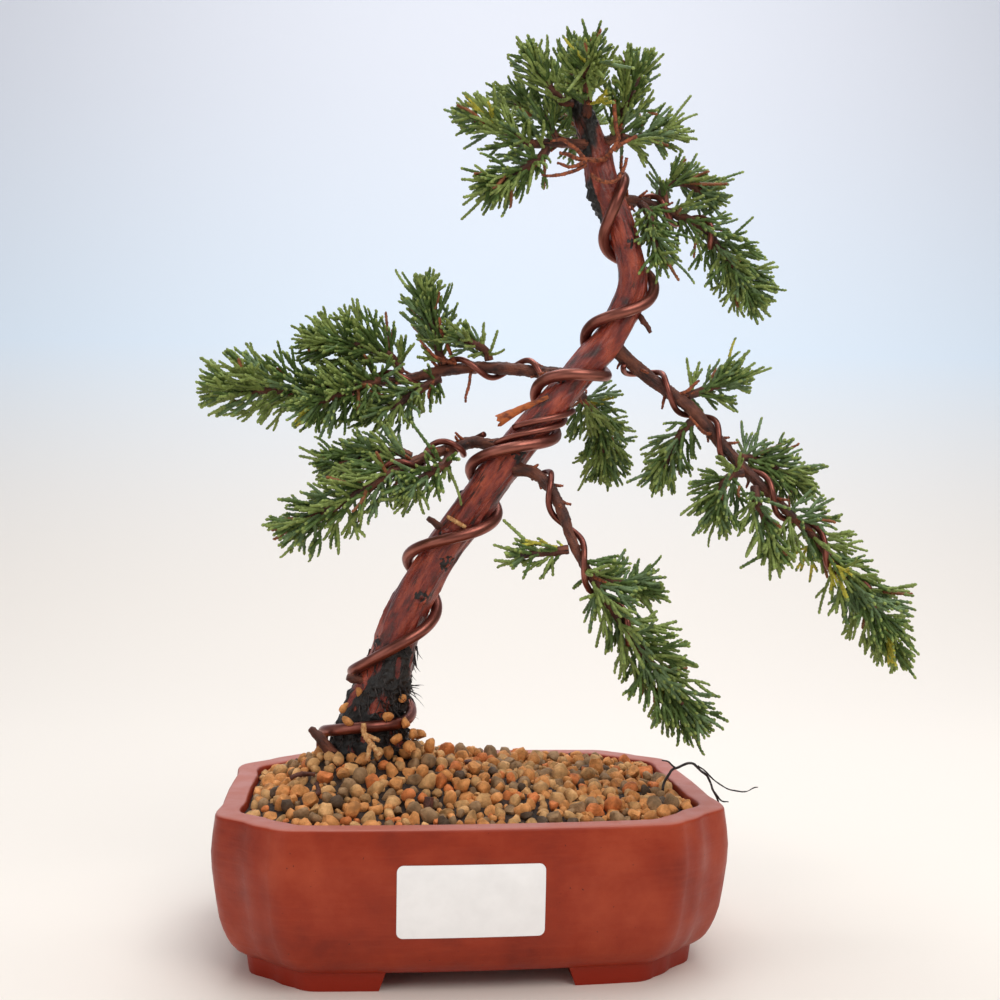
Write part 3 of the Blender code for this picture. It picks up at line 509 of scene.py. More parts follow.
def potFoot(sideX, sideY):
    # a ring under the wall, cut to one corner and rounded along its edges
    outline = inset(potOutline(), pot["footInset"])
    inner = outline * pot["footShare"]
    tall = pot["footHeight"]
    outer, hollow = pot["footDraft"]
    bm = bmesh.new()
    loops = [[bm.verts.new(point) for point in placed(atHeight(ring, height))]
             for ring, height in ((outline * outer, 0.0), (outline, tall), (inner * hollow, tall), (inner, 0.0))]
    for a, b in zip(loops, loops[1:] + loops[:1]):
        for i, start in enumerate(a):
            j = (i + 1) % len(a)
            bm.faces.new((start, a[j], b[j], b[i]))
    for point, normal in (((sideX * pot["footGapFront"], 0, 0), (sideX * tall, 0, pot["footSlant"])),
                          ((0, sideY * pot["footGapSide"], 0), (0, sideY * tall, pot["footSlant"]))):
        bmesh.ops.bisect_plane(bm, geom=everything(bm), plane_co=placed(point), plane_no=normal, clear_inner=True)
        bmesh.ops.holes_fill(bm, edges=[e for e in bm.edges if e.is_boundary])
    bmesh.ops.recalc_face_normals(bm, faces=bm.faces)
    sharp = [e for e in bm.edges if len(e.link_faces) == 2 and e.calc_face_angle(0.0) > math.radians(50)
             and max(v.co.z for v in e.verts) < (tall - 1.0) * mm]
    bmesh.ops.bevel(bm, geom=sharp, offset=pot["footRound"] * mm, segments=3, profile=0.5,
                    affect="EDGES", material=-1, clamp_overlap=True)
    return bm


def potClay():
    material, tree, shader = startMaterial("potClay", pot["clay"], 0.42, Specular_IOR_Level=0.3)
    place = objectSpace(tree)
    height = heightOf(tree, place)
    upward = heightOf(tree, addNode(tree, "ShaderNodeNewGeometry").outputs["Normal"])
    cloud = noiseOn(tree, place, 32.0, 5.0, 0.6)
    colour = rampOn(tree, cloud, [(0.32, pot["clayDark"]), (0.5, pot["clay"]), (0.7, pot["clayPale"])])
    streak = grainOn(tree, place, (60.0, 60.0, 520.0), 3.0)
    colour = blendOn(tree, rangeOn(tree, streak, 0.45, 0.75, 0.0, 0.22), colour, pot["clayPale"])
    footMask = rangeOn(tree, height, 0.0045, 0.0105, 1.0, 0.0)
    colour = blendOn(tree, footMask, colour, pot["foot"])
    rimMask = timesOn(tree, rangeOn(tree, upward, 0.55, 0.95), rangeOn(tree, height, 0.0560, 0.0570))
    colour = blendOn(tree, timesOn(tree, rimMask, 0.85), colour, pot["rim"])
    speckle = rangeOn(tree, noiseOn(tree, place, 620.0, 2.0), 0.735, 0.76)
    colour = blendOn(tree, timesOn(tree, speckle, 0.8), colour, pot["speck"])
    feed(tree, shader, Base_Color=colour,
         Roughness=rangeOn(tree, noiseOn(tree, place, 90.0, 4.0), 0.3, 0.7, 0.36, 0.52))
    fine = addOn(tree, timesOn(tree, noiseOn(tree, place, 1500.0, 2.0), 0.35), streak)
    bumpOn(tree, shader, fine, 0.35, 0.0004)
    return material


def makePot():
    feet = [potFoot(x, y) for x in (-1, 1) for y in (-1, 1)]
    finishPiece("potBody", [potBody()] + feet, potClay(), ("pot",), sharp=38)


makePot()
print("pot: wall, rim and four feet")

# ---- label

label = {"size": (50.0, 25.0), "centre": (-3.5, 33.5), "round": 2.2, "thickness": 0.25, "stand": 0.12,
         "cuts": (16, 10), "paper": tint(250, 249, 249), "paperGrey": tint(243, 242, 242)}


def makeLabel():
    wide, tall = label["size"]
    bm = bmesh.new()
    bmesh.ops.create_grid(bm, x_segments=1, y_segments=1, size=0.5)
    bmesh.ops.scale(bm, vec=(wide, tall, 1.0), verts=bm.verts)
    bmesh.ops.bevel(bm, geom=bm.verts[:], offset=label["round"], segments=6, profile=0.5, affect="VERTICES",
                    material=-1)
    for count, reach, normal in zip(label["cuts"], label["size"], ((1, 0, 0), (0, 1, 0))):
        for step in range(1, count):
            bmesh.ops.bisect_plane(bm, geom=everything(bm), plane_no=normal,
                                   plane_co=Vector(normal) * (reach * (step / count - 0.5)))
    for vert in bm.verts:
        x, z = vert.co.x + label["centre"][0], vert.co.y + label["centre"][1]
        wall = -frontBow(x) * (1.0 - wallInset(z) / pot["frontDepth"])
        vert.co = placed((x, wall - label["stand"], z))
    front = only(bmesh.types.BMVert, bmesh.ops.extrude_face_region(bm, geom=bm.faces[:])["geom"])
    bmesh.ops.translate(bm, verts=front, vec=(0, -label["thickness"] * mm, 0))
    bmesh.ops.recalc_face_normals(bm, faces=bm.faces)
    material, tree, shader = startMaterial("labelPaper", label["paper"], 0.32)
    place = objectSpace(tree)
    feed(tree, shader, Base_Color=rampOn(tree, noiseOn(tree, place, 150.0, 3.0),
                                         [(0.3, label["paperGrey"]), (0.7, label["paper"])]))
    bumpOn(tree, shader, noiseOn(tree, place, 900.0, 3.0), 0.08, 0.0003)
    finishPiece("blankLabel", [bm], material, ("label",), sharp=40)


makeLabel()
print("label: left blank")

# ---- soil and its granules

soil = {
    "seat": (-38.0, 8.0, 68.0), "seatRadius": 19.5, "edge": 55.0, "clearance": 0.6, "floor": 14.3,
    # the bed's near-black and brown are painted shade for the gaps between granules
    "black": tint(34, 27, 24), "brown": tint(72, 48, 34),
    # rings of the mound, from the pot's wall to the seat and from there to its middle
    "slope": (0.94, 0.86, 0.78, 0.68, 0.58, 0.48, 0.38, 0.28, 0.18, 0.09, 0.0), "top": (0.75, 0.5, 0.25),
    "small": (1.4, 2.4), "large": (2.5, 4.1), "tries": (5000, 9000), "closeness": 0.74, "seed": 11, "shapes": 8,
    "bare": 15.0, "heap": 26.0, "heapHeight": 4.0, "cell": 8,  # granules heap up against the trunk's foot
    "tints": {"granulesOchre": (tint(208, 140, 78), 0.38), "granulesOrange": (tint(206, 118, 60), 0.11),
              "granulesTan": (tint(204, 154, 98), 0.26), "granulesGrey": (tint(150, 116, 80), 0.2),
              "granulesDark": (tint(84, 64, 46), 0.05)},
}


def soilEdge(height):
    return inset(potOutline(), pot["rimWidth"] + soil["clearance"]) * narrowing(height)


def moundHeight(share):
    # share runs from 0 at the seat to 1 at the pot's wall
    return soil["edge"] + (soil["seat"][2] - soil["edge"]) * (1.0 - share) ** 1.5


def soilHeight(x, y, outline):
    # the mound rises from the rim to a flat seat under the trunk
    seat = np.array(soil["seat"][:2])
    away = np.array([x, y]) - seat
    reach = np.linalg.norm(away)
    if reach <= soil["seatRadius"]:
        return soil["seat"][2]
    bearing = np.arctan2(outline[:, 1] - seat[1], outline[:, 0] - seat[0])
    k = int(np.argmin(abs(np.angle(np.exp(1j * (bearing - math.atan2(away[1], away[0])))))))
    far = np.linalg.norm(outline[k] - seat)
    return moundHeight(min((reach - soil["seatRadius"]) / max(far - soil["seatRadius"], 1.0), 1.0))


def soilMound():
    outline = soilEdge(soil["edge"])
    seat = np.array(soil["seat"][:2])
    away = outline - seat
    circle = seat + soil["seatRadius"] * away / np.linalg.norm(away, axis=1)[:, None]
    rings = [atHeight(soilEdge(pot["floorTop"]), soil["floor"]), atHeight(outline, soil["edge"])]
    rings += [atHeight(circle * (1.0 - share) + outline * share, moundHeight(share)) for share in soil["slope"]]
    rings += [atHeight(seat + (circle - seat) * share, soil["seat"][2]) for share in soil["top"]]
    bm = loftRings(rings)
    for vert in bm.verts:
        if vert.co.z > (soil["edge"] + 0.3) * mm:
            vert.co.z += 0.5 * mm * noise.noise(vert.co * 260.0)
    # painted shade: the near-black bed shows only between the granules, dark as the shade there
    material, tree, shader = startMaterial("soilShade", soil["black"], 0.8)
    grit = noiseOn(tree, objectSpace(tree), 420.0, 5.0, 0.7)
    roughened(tree, shader, grit, [(0.4, soil["black"]), (0.72, soil["brown"])], 0.9, 0.0015)
    finishPiece("soilShadeBed", [bm], material, ("soil",))


def asArrays(bm):
    bmesh.ops.triangulate(bm, faces=bm.faces[:])
    bm.verts.index_update()
    verts = np.array([vert.co[:] for vert in bm.verts])
    triangles = np.array([[vert.index for vert in face.verts] for face in bm.faces])
    bm.free()
    return verts, triangles


def repeated(copies, triangles):
    # the corners of many copies of one shape, with the triangles of them all
    offsets = np.arange(len(copies))[:, None, None] * copies.shape[1]
    return copies.reshape(-1, 3), (triangles[None] + offsets).reshape(-1, 3)


def copiesOf(verts, triangles, bases, places):
    # bases are three side vectors for each copy, places its origin
    return repeated(np.einsum("vk,nkj->nvj", verts, bases) + places[:, None], triangles)


def joinArrays(groups):
    verts, triangles, count = [], [], 0
    for some, faces in groups:
        verts.append(some)
        triangles.append(faces + count)
        count += len(some)
    return np.vstack(verts), np.vstack(triangles)


def anyWay(rng):
    return Vector((rng.gauss(0, 1), rng.gauss(0, 1), rng.gauss(0, 1)))


def anyTurn(rng):
    return np.array(anyWay(rng).to_track_quat("Z", "X").to_matrix())


def granuleShape(seed):
    # a small icosphere with a few flats knocked off it
    rng = random.Random(seed)
    bm = bmesh.new()
    bmesh.ops.create_icosphere(bm, subdivisions=2, radius=1.0)
    flats = [(anyWay(rng).normalized(), rng.uniform(0.5, 0.82)) for _ in range(8)]
    for vert in bm.verts:
        for normal, reach in flats:
            past = vert.co.dot(normal) - reach
            if past > 0:
                vert.co -= normal * past * 0.9
        vert.co *= 1.0 + 0.13 * noise.noise(vert.co * 1.7 + Vector((seed * 3.1, 0, 0)))
    return asArrays(bm)


def granuleMaterial(name, colour):
    material, tree, shader = startMaterial(name, colour, 0.72, Specular_IOR_Level=0.35)
    place = objectSpace(tree)
    deep = shaded(colour, 0.55)
    patch = noiseOn(tree, place, 240.0, 3.0)
    fine = noiseOn(tree, place, 1500.0, 3.0, 0.6)
    colour = rampOn(tree, patch, [(0.3, deep), (0.5, colour), (0.72, shaded(colour, 1.45, 0.03))])
    colour = blendOn(tree, rangeOn(tree, fine, 0.55, 0.75, 0.0, 0.6), colour, deep)
    feed(tree, shader, Base_Color=colour)
    bumpOn(tree, shader, addOn(tree, fine, noiseOn(tree, place, 600.0, 2.0)), 0.7, 0.0005)
    return material


def makeGranules():
    rng = random.Random(soil["seed"])
    outline = soilEdge(soil["edge"])
    reach = abs(outline).max(axis=0)
    bare, heap, cellSize = soil["bare"], soil["heap"], soil["cell"]
    placedOnes = []
    cells = {}
    for (low, high), tries in zip((soil["large"], soil["small"]), soil["tries"]):
        for _ in range(tries):
            size = rng.uniform(low, high)
            x, y = rng.uniform(-reach[0], reach[0]), rng.uniform(-reach[1], reach[1])
            if not insideOutline(x, y, outline, size * 0.8):
                continue
            nearTrunk = math.hypot(x - soil["seat"][0], y - soil["seat"][1])
            if nearTrunk < bare:
                continue
            lift = rng.uniform(-0.2, 0.7) * size
            if nearTrunk < heap and x > soil["seat"][0] - 6:
                lift += rng.uniform(0.0, soil["heapHeight"]) * (heap - nearTrunk) / (heap - bare)
            spot = (x, y, soilHeight(x, y, outline) + lift)
            column, line = int(x // cellSize), int(y // cellSize)
            near = [row for i in (-1, 0, 1) for j in (-1, 0, 1) for row in cells.get((column + i, line + j), ())]
            if all(math.dist(row[:3], spot) > (row[3] + size) * soil["closeness"] for row in near):
                placedOnes.append((*spot, size))
                cells.setdefault((column, line), []).append(placedOnes[-1])
    shapes = [granuleShape(seed) for seed in range(soil["shapes"])]
    weights = [share for _, share in soil["tints"].values()]
    dealt = {name: [[] for _ in shapes] for name in soil["tints"]}
    for row in placedOnes:
        name = rng.choices(list(dealt), weights)[0]
        dealt[name][rng.randrange(len(shapes))].append(row)
    for name, (colour, _) in soil["tints"].items():
        groups = []
        for shape, rows in zip(shapes, dealt[name]):
            bases = []
            for row in rows:
                turn = anyTurn(rng)
                stretch = np.diag([rng.uniform(0.95, 1.3), rng.uniform(0.8, 1.0), rng.uniform(0.75, 0.95)])
                bases.append(stretch @ turn * row[3])
            if rows:
                groups.append(copiesOf(*shape, np.array(bases), np.array(rows)[:, :3]))
        finishPiece(name, joinArrays(groups), granuleMaterial(name, colour), sharp=50)
    print("soil: granules", len(placedOnes))


def insideOutline(x, y, outline, margin):
    edge = inset(outline, margin)
    inside = False
    for (ax, ay), (bx, by) in zip(edge, np.roll(edge, -1, axis=0)):
        if (ay > y) != (by > y) and x < (bx - ax) * (y - ay) / (by - ay) + ax:
            inside = not inside
    return inside


soilMound()
makeGranules()

# ---- trunk

trunk = {
    "stations": [(-38, 8, 68.3, 16.5), (-38, 8, 72, 14.5), (-37, 7, 82, 11.8), (-32, 5, 97, 9.8),
                 (-26, 3, 118, 8.0), (-15, 0, 141, 7.0), (1, -3, 165, 6.9), (12, -4, 181, 6.7),
                 (28, -3, 201, 6.2), (45, 0, 221, 5.9), (59, 3, 238, 5.8), (67, 4, 258, 5.5),
                 (62, 4, 279, 5.4), (55, 5, 296, 5.5), (51, 7, 315, 5.0), (44, 9, 333, 3.4), (41, 10, 339, 2.6)],
    "flareTop": 104.0, "flareRidges": 5, "flareDepth": 0.16, "ringStep": 0.6, "sides": 84,
    # heights of the black fibrous skin of old roots: where it ends low down and a patch; and the height above which
    # the trunk's top inside the crown is painted dark as shade under the foliage
    "rootTop": 128.0, "rootPatch": 292.0, "crownShadeFrom": 304.0,
    "pale": tint(176, 74, 44), "red": tint(119, 31, 18), "deep": tint(58, 20, 14), "black": tint(22, 17, 15),
    # pruned knots: height of the axis, bearing in degrees (90 faces the viewer), size
    "knots": [(147, 60, 3.4), (155, 115, 3.0), (133, 80, 2.6), (188, 75, 2.6), (214, 120, 2.4), (246, 70, 2.6),
              (272, 95, 2.4), (112, 150, 3.0), (168, 200, 3.0), (226, 250, 2.6), (290, 290, 2.6)],
}


def flareFade(height):
    return max(0.0, (trunk["flareTop"] - height) / (trunk["flareTop"] - trunk["stations"][0][2]))


def flareSwell(height):
    return 1.0 + trunk["flareDepth"] * flareFade(height)


def bearingOf(direction):
    return math.atan2(direction[1], direction[0])


def makeTrunk():
    path = smoothPath(trunk["stations"], trunk["ringStep"])
    path[path[:, 2] < 72.0, :2] = path[0, :2]
    heights = path[:, 2]
    knots = [(h, math.radians(-b), size) for h, b, size in trunk["knots"]]

    def rootSkinAndCrownShade(i, direction, spot):
        # how far the black root skin, or the painted shade on the trunk's top inside the crown, covers this spot,
        # from 0 to 1
        height = heights[i]
        patch = wobble(spot, 6.0, 14.0, 3.0)
        right = 9.0 * direction[0]
        low = min(max((trunk["rootTop"] + right - 10 - height) / 26.0 + 1.5 * patch, 0.0), 1.0)
        # painted shade: above that height the trunk's top among the foliage is darkened all round
        top = min(max((height - trunk["crownShadeFrom"]) / 9.0, 0.0), 0.44 + 0.9 * patch)
        upper = max(1.2 - abs(height - trunk["rootPatch"]) / 11.0, 0.0)
        upper *= min(max(0.25 - direction[0] + 1.6 * patch, 0.0), 1.0)
        bare = min(max((wobble(spot, 4.0, 10.0, 21.0) - 0.08) * 7.0, 0.0), 0.85)  # red bark shows through
        return max(low * (1 - bare), min(upper, 1.0), top)

    def fromKnots(i, direction):
        # how far this spot lies from each pruned knot, in sizes of the knot
        for height, bearing, size in knots:
            sideways = wrapAngle(bearingOf(direction) - bearing) * path[i, 3]
            yield math.hypot((heights[i] - height) * 1.1, sideways) / size

    def relief(i, direction, spot):
        ridges = math.cos(trunk["flareRidges"] * bearingOf(direction) + 0.8)
        swell = path[i, 3] * trunk["flareDepth"] * flareFade(heights[i]) * ridges
        broad = 0.8 * wobble(spot, 6.5, 26.0)
        fibre = 0.22 * (1.0 - 2.6 * abs(wobble(spot, 1.5, 16.0, 9.0)))
        plate = 0.5 * min(max((wobble(spot, 3.6, 20.0, 17.0) - 0.03) * 9.0, 0.0), 1.0)
        cover = rootSkinAndCrownShade(i, direction, spot)
        shaggy = cover * (0.4 + 2.0 * abs(wobble(spot, 2.2, 3.4, 5.0)) + 1.1 * wobble(spot, 1.0, 1.4, 2.0))
        burr = 0.0
        for apart in fromKnots(i, direction):
            if apart < 2.0:
                burr += 1.1 * math.exp(-(apart * 1.3) ** 2) - 0.9 * math.exp(-((apart - 0.6) * 4.5) ** 2)
        return swell + broad + (fibre + plate) * (1 - 0.5 * cover) + shaggy + burr

    def shade(i, direction, spot):
        rough = 1.3 * wobble(spot, 1.1, 1.6, 6.0)
        dark = max(0.82 - abs(apart - 0.45) * 1.5 + rough for apart in fromKnots(i, direction))
        return max(rootSkinAndCrownShade(i, direction, spot), min(max(dark, 0.0), 1.0))

    bark = barkMaterial("redBark", trunk["pale"], trunk["red"], trunk["deep"], 0.34, 0.3)
    finishPiece("trunkBark", [wrapTube(path, trunk["sides"], relief, shade)], bark, ("trunk",))


def wrapAngle(turn):
    return (turn + math.pi) % math.tau - math.pi


def barkMaterial(name, pale, middle, deep, roughness, gloss):
    # the grain attribute gives a spot's place in mm, round and along the limb
    material, tree, shader = startMaterial(name, middle, roughness, Coat_Weight=gloss, Coat_Roughness=0.3)
    grain = attributeOn(tree, "grain", "Vector")
    shade = attributeOn(tree, "shade", "Fac")
    fibres = grainOn(tree, grain, (1.1, 1.1, 0.12), 6.0, 0.62)
    sheets = grainOn(tree, grain, (0.2, 0.2, 0.08), 5.0, 0.6)
    colour = rampOn(tree, sheets, [(0.33, deep), (0.46, middle), (0.66, pale)])
    colour = blendOn(tree, rangeOn(tree, fibres, 0.5, 0.75, 0.0, 0.6), colour, deep)
    # long cracks open where a drawn-out noise crosses its middle, in parts of the bark only
    split = mathOn(tree, "SUBTRACT", grainOn(tree, grain, (0.42, 0.42, 0.04), 4.0), 0.5)
    line = rangeOn(tree, timesOn(tree, split, split), 0.00004, 0.0007, 0.9, 0.0)
    crack = timesOn(tree, line, rangeOn(tree, grainOn(tree, grain, (0.12, 0.12, 0.05), 2.0), 0.5, 0.6))
    colour = blendOn(tree, crack, colour, trunk["black"])
    glint = rangeOn(tree, grainOn(tree, grain, (0.9, 0.9, 0.11), 5.0), 0.58, 0.7, 0.0, 0.6)
    colour = blendOn(tree, glint, colour, pale)
    # black where the shade attribute is high: root skin, knot scars and the painted shade on the trunk's top
    blackMask = rangeOn(tree, addOn(tree, shade, timesOn(tree, fibres, 0.5)), 0.55, 0.85)
    feed(tree, shader, Base_Color=blendOn(tree, blackMask, colour, trunk["black"]),
         Roughness=addOn(tree, timesOn(tree, blackMask, 0.25), roughness))
    ridges = mathOn(tree, "SUBTRACT", fibres, timesOn(tree, crack, 0.4))
    knobs = timesOn(tree, grainOn(tree, grain, (1.2, 1.2, 1.9), 4.0), 0.7)
    bumpOn(tree, shader, addOn(tree, ridges, knobs), 0.8, 0.0009)
    return material


makeTrunk()
print("trunk: bark and root skin")

# ---- boughs

boughs = {
    # height where it leaves the trunk, radius there, and its stations
    "bough_left_upper": (219, 2.6, [(36, 12, 221, 2.5), (23, 18, 223, 2.3), (6, 20, 224, 2.2), (-10, 20, 222, 2),
        (-26, 18, 218, 1.8), (-42, 15, 216, 1.5)]),
    "bough_left_lower": (189, 2.3, [(3, 1, 192, 2.2), (-7, -6, 189, 2), (-18, -13, 185, 1.8), (-28, -18, 180, 1.5)]),
    "bough_right_lower": (182, 2.3, [(24, -12, 180, 2.2), (30, -19, 174, 2), (34, -24, 165, 1.9),
        (37, -27, 155, 1.7), (41, -29, 146, 1.5), (46, -30, 138, 1.3)]),
    "bough_right_main": (234, 3.0, [(65, 7, 227, 2.7), (73, 8, 221, 2.5), (81, 4, 214, 2.4), (90, 1, 207, 2.3),
        (99, -4, 195, 2.1), (110, -8, 182, 1.9), (122, -10, 170, 1.7), (133, -12, 159, 1.4)]),
    "bough_back": (214, 2.1, [(46, 17, 213, 2), (50, 26, 213, 1.7), (53, 33, 211, 1.4)]),
    "bough_right_upper": (290, 2.0, [(65, 12, 293, 1.9), (74, 15, 293, 1.7), (85, 15, 289, 1.4)]),
    "bough_crown_left": (313, 2.0, [(42, 4, 313, 1.9), (33, 0, 312, 1.6), (24, -3, 310, 1.4)]),
    "bough_crown_right": (313, 1.9, [(58, 5, 316, 1.7), (61, 4, 321, 1.4)]),
    "bough_crown_back": (318, 1.8, [(50, 18, 321, 1.6), (48, 26, 324, 1.3)]),
    "bough_crown_front": (324, 1.7, [(47, -1, 327, 1.5), (45, -9, 331, 1.3)]),
}
boughFinish = {"ringStep": 0.7, "sides": 18, "pale": tint(140, 80, 56), "middle": tint(88, 46, 34),
               "deep": tint(42, 24, 20),
               "stub": [(-52.5, -3, 71, 2.2), (-57, -4, 77, 1.8), (-60, -4, 80, 1.2)]}


def carrierIndex(path, at):
    if at == "tip":
        return len(path) - 1
    if isinstance(at, tuple):
        return int(np.argmin(np.linalg.norm(path[:, :3] - np.array(at), axis=1)))
    return int(np.argmin(abs(path[:, 2] - at)))


def boughPath(spec, step):
    at, radius, stations = spec
    start = leave(axis, carrierIndex(axis, at), stations[0][:3], radius)
    return smoothPath([(*start, radius)] + stations, step)


def youngRelief(i, direction, spot):
    scaly = 0.55 * abs(wobble(spot, 0.8, 1.5, 4.0)) + 0.4 * wobble(spot, 1.6, 3.5, 8.0)
    return scaly + 0.16 * (1.0 - 2.0 * abs(wobble(spot, 0.5, 5.0, 1.0)))


def limbShape(path, sides):
    # the root reaches into its carrier and the tip is rounded off
    line = unit(path[0, :3] - path[1, :3])
    *tip, radius = path[-1]
    onward = unit(path[-1, :3] - path[-2, :3])
    rows = [[*(path[0, :3] + line * 1.6), path[0, 3] * 1.25], *path]
    rows += [[*(tip + onward * out * radius), radius * thin] for out, thin in ((0.4, 0.85), (0.7, 0.45))]
    return wrapTube(np.array(rows), sides, youngRelief)


axis = smoothPath(trunk["stations"], 1.5)
limbs = {name: boughPath(spec, 1.5) for name, spec in boughs.items()}
carriers = {"trunk": axis, **limbs}


def makeBoughs():
    paths = [boughPath(spec, boughFinish["ringStep"]) for spec in boughs.values()]
    paths.append(smoothPath(boughFinish["stub"], boughFinish["ringStep"]))
    shapes = [limbShape(path, boughFinish["sides"]) for path in paths]
    bark = barkMaterial("youngBark", boughFinish["pale"], boughFinish["middle"], boughFinish["deep"], 0.6, 0.0)
    finishPiece("boughBark", shapes, bark, (*boughs, "base_stub"))


makeBoughs()
print("boughs:", len(boughs))

# ---- wires

wires = {
    "trunkRadius": 2.3, "thinRadius": 1.2, "clearance": 0.7, "sides": 16, "pointsPerTurn": 56,
    # heights of the trunk's axis where the thick wire passes the left and the right side in turn
    "passes": [76, 90, 98, 129, 143, 168, 178, 200, 209, 225, 233, 257, 277, 299],
    # beside the thick wire: passes counted from its first left pass, and the lift
    "thinRuns": {"wire_trunk_thin_low": (6.15, 7.75, 7.0), "wire_trunk_thin_high": (6.25, 7.0, 13.0)},
    # bough, mass, pitch, start angle in turns, start and end as distances along both
    "boughRuns": {
        "wire_left_upper": ("bough_left_upper", "foliage_left_upper_tip", 29.0, 0.3, 6.0, 112.0),
        "wire_left_lower": ("bough_left_lower", "foliage_left_lower_tip", 22.0, 0.85, 5.0, 52.0),
        "wire_right_lower": ("bough_right_lower", "foliage_right_lower", 29.0, 0.5, 4.0, 84.0),
        "wire_right_main": ("bough_right_main", "foliage_right_main_tip", 29.0, 0.25, 5.0, 140.0),
        "wire_right_upper": ("bough_right_upper", "foliage_right_upper_tip", 22.0, 0.2, 5.0, 50.0)},
    # the thick wire's lower end goes on round the foot and into the soil
    "buried": [(-52.5, 22.5, 60), (-56.3, 15.5, 69)],
    "copper": tint(136, 80, 69), "dark": tint(100, 54, 46), "worn": tint(162, 102, 88),
}

# masses of foliage by the limb that carries them: where on the limb, lift of the twigs, stations with reach
massRows = {
    "bough_left_upper": {
        "left_upper_tip": ("tip", 0.15, [(-57, 12, 213, 14), (-72, 8, 212, 19), (-90, 5, 211, 18)]),
        "left_upper_mid": ((-24, 18, 219), 0.2, [(-29, 16, 226, 13), (-40, 13, 230, 18), (-53, 10, 231, 15)]),
        "left_upper_top": ((-8, 20, 222), 0.3, [(-11, 20, 232, 12), (-14, 20, 242, 15), (-16, 20, 250, 12)]),
        "left_upper_front": ((-32, 17, 217), 0.0, [(-37, 7, 216, 11), (-48, -1, 211, 14), (-59, -6, 206, 12)]),
        "left_upper_low": ((-4, 20, 223), -0.1, [(-20, 14, 213, 9), (-27, 10, 208, 12), (-35, 7, 204, 10)]),
        "left_upper_inner": ((11, 20, 224), 0.1, [(9, 18, 230, 6), (3, 15, 233, 8), (-3, 12, 235, 7)]),
    },
    "bough_left_lower": {
        "left_lower_tip": ("tip", 0.0, [(-39, -20, 173, 12), (-51, -22, 166, 15), (-63, -22, 160, 12)]),
        "left_lower_top": ((-21, -15, 184), 0.2, [(-27, -12, 187, 9), (-38, -10, 186, 12), (-50, -8, 182, 10)]),
        "left_lower_inner": ((-6, -5, 189), 0.0, [(-9, -13, 184, 8), (-16, -19, 179, 11), (-24, -23, 173, 9)]),
    },
    "bough_right_lower": {
        "right_lower": ("tip", -0.1, [(51, -32, 130, 12), (60, -34, 117, 17), (70, -35, 104, 18),
            (78, -35, 93, 14)]),
        "right_lower_top": ((42, -29, 144), 0.1, [(52, -25, 138, 8), (59, -20, 137, 11), (67, -17, 135, 9)]),
        "right_lower_sprig": ((36, -28, 150), 0.1, [(33, -27, 150, 6), (26, -26, 149, 8), (18, -26, 148, 7)]),
    },
    "bough_right_main": {
        "right_main_top": ((86, 2, 212), 0.2, [(92, 4, 213, 9), (100, 5, 216, 12), (108, 5, 218, 9)]),
        "right_main_low": ((93, 0, 203), -0.3, [(88, 2, 199, 9), (84, 5, 191, 12), (80, 7, 183, 10)]),
        "right_main_mid": ((106, -6, 187), 0.1, [(114, -2, 187, 11), (123, 1, 184, 14), (132, 2, 179, 12)]),
        "right_main_fill": ((111, -8, 181), -0.1, [(104, -12, 180, 10), (99, -14, 175, 15), (98, -15, 168, 12)]),
        "right_main_under": ((113, -8, 179), -0.2, [(113, -14, 169, 10), (116, -17, 161, 13), (118, -19, 153, 10)]),
        "right_main_tip": ("tip", -0.05, [(142, -13, 149, 15), (153, -14, 137, 18), (163, -14, 124, 17),
            (169, -14, 114, 11)]),
    },
    "bough_back": {
        "back": ("tip", -0.1, [(57, 40, 209, 14), (61, 44, 201, 19), (63, 46, 191, 15)]),
    },
    "bough_right_upper": {
        "right_upper_tip": ("tip", 0.0, [(96, 15, 285, 12), (107, 15, 273, 15), (117, 14, 259, 13)]),
        "right_upper_low": ((72, 13, 298), -0.2, [(74, 7, 286, 9), (74, 3, 278, 12), (76, 0, 270, 9)]),
        "right_upper_top": ((82, 15, 290), 0.3, [(82, 16, 300, 9), (91, 17, 302, 11), (100, 17, 298, 9)]),
    },
    "bough_crown_left": {
        "crown_left": ("tip", 0.2, [(16, -3, 314, 10), (8, -2, 318, 13), (2, 0, 320, 10)]),
        "crown_left_low": ((32, 0, 312), -0.1, [(28, -5, 305, 9), (19, -8, 298, 13), (10, -9, 293, 11)]),
        "crown_left_mid": ((34, 1, 313), 0.3, [(32, 8, 322, 10), (26, 13, 329, 13), (20, 16, 333, 10)]),
    },
    "trunk": {
        "crown_left_top": (329, 0.3, [(37, 3, 330, 10), (31, 1, 336, 12), (26, 0, 342, 10)]),
        "crown_top": ("tip", 0.3, [(41, 10, 343, 11), (43, 10, 348, 12), (44, 10, 352, 8)]),
    },
    "bough_crown_right": {
        "crown_right": ("tip", 0.2, [(62, 1, 326, 12), (64, -2, 333, 15), (67, -3, 339, 12)]),
        "crown_right_low": ((59, 5, 317), 0.0, [(67, 9, 317, 9), (74, 11, 320, 12), (81, 12, 321, 9)]),
    },
    "bough_crown_front": {
        "crown_front": ("tip", 0.2, [(44, -14, 334, 12), (44, -21, 336, 14), (44, -27, 337, 10)]),
    },
    "bough_crown_back": {
        "crown_back": ("tip", 0.2, [(49, 32, 330, 13), (50, 39, 335, 16), (51, 46, 337, 12)]),
    },
}
masses = {"foliage_" + name: dict(on=limb, at=at, lift=lift, stations=stations)
          for limb, rows in massRows.items() for name, (at, lift, stations) in rows.items()}
stemRadius = (1.6, 1.1)


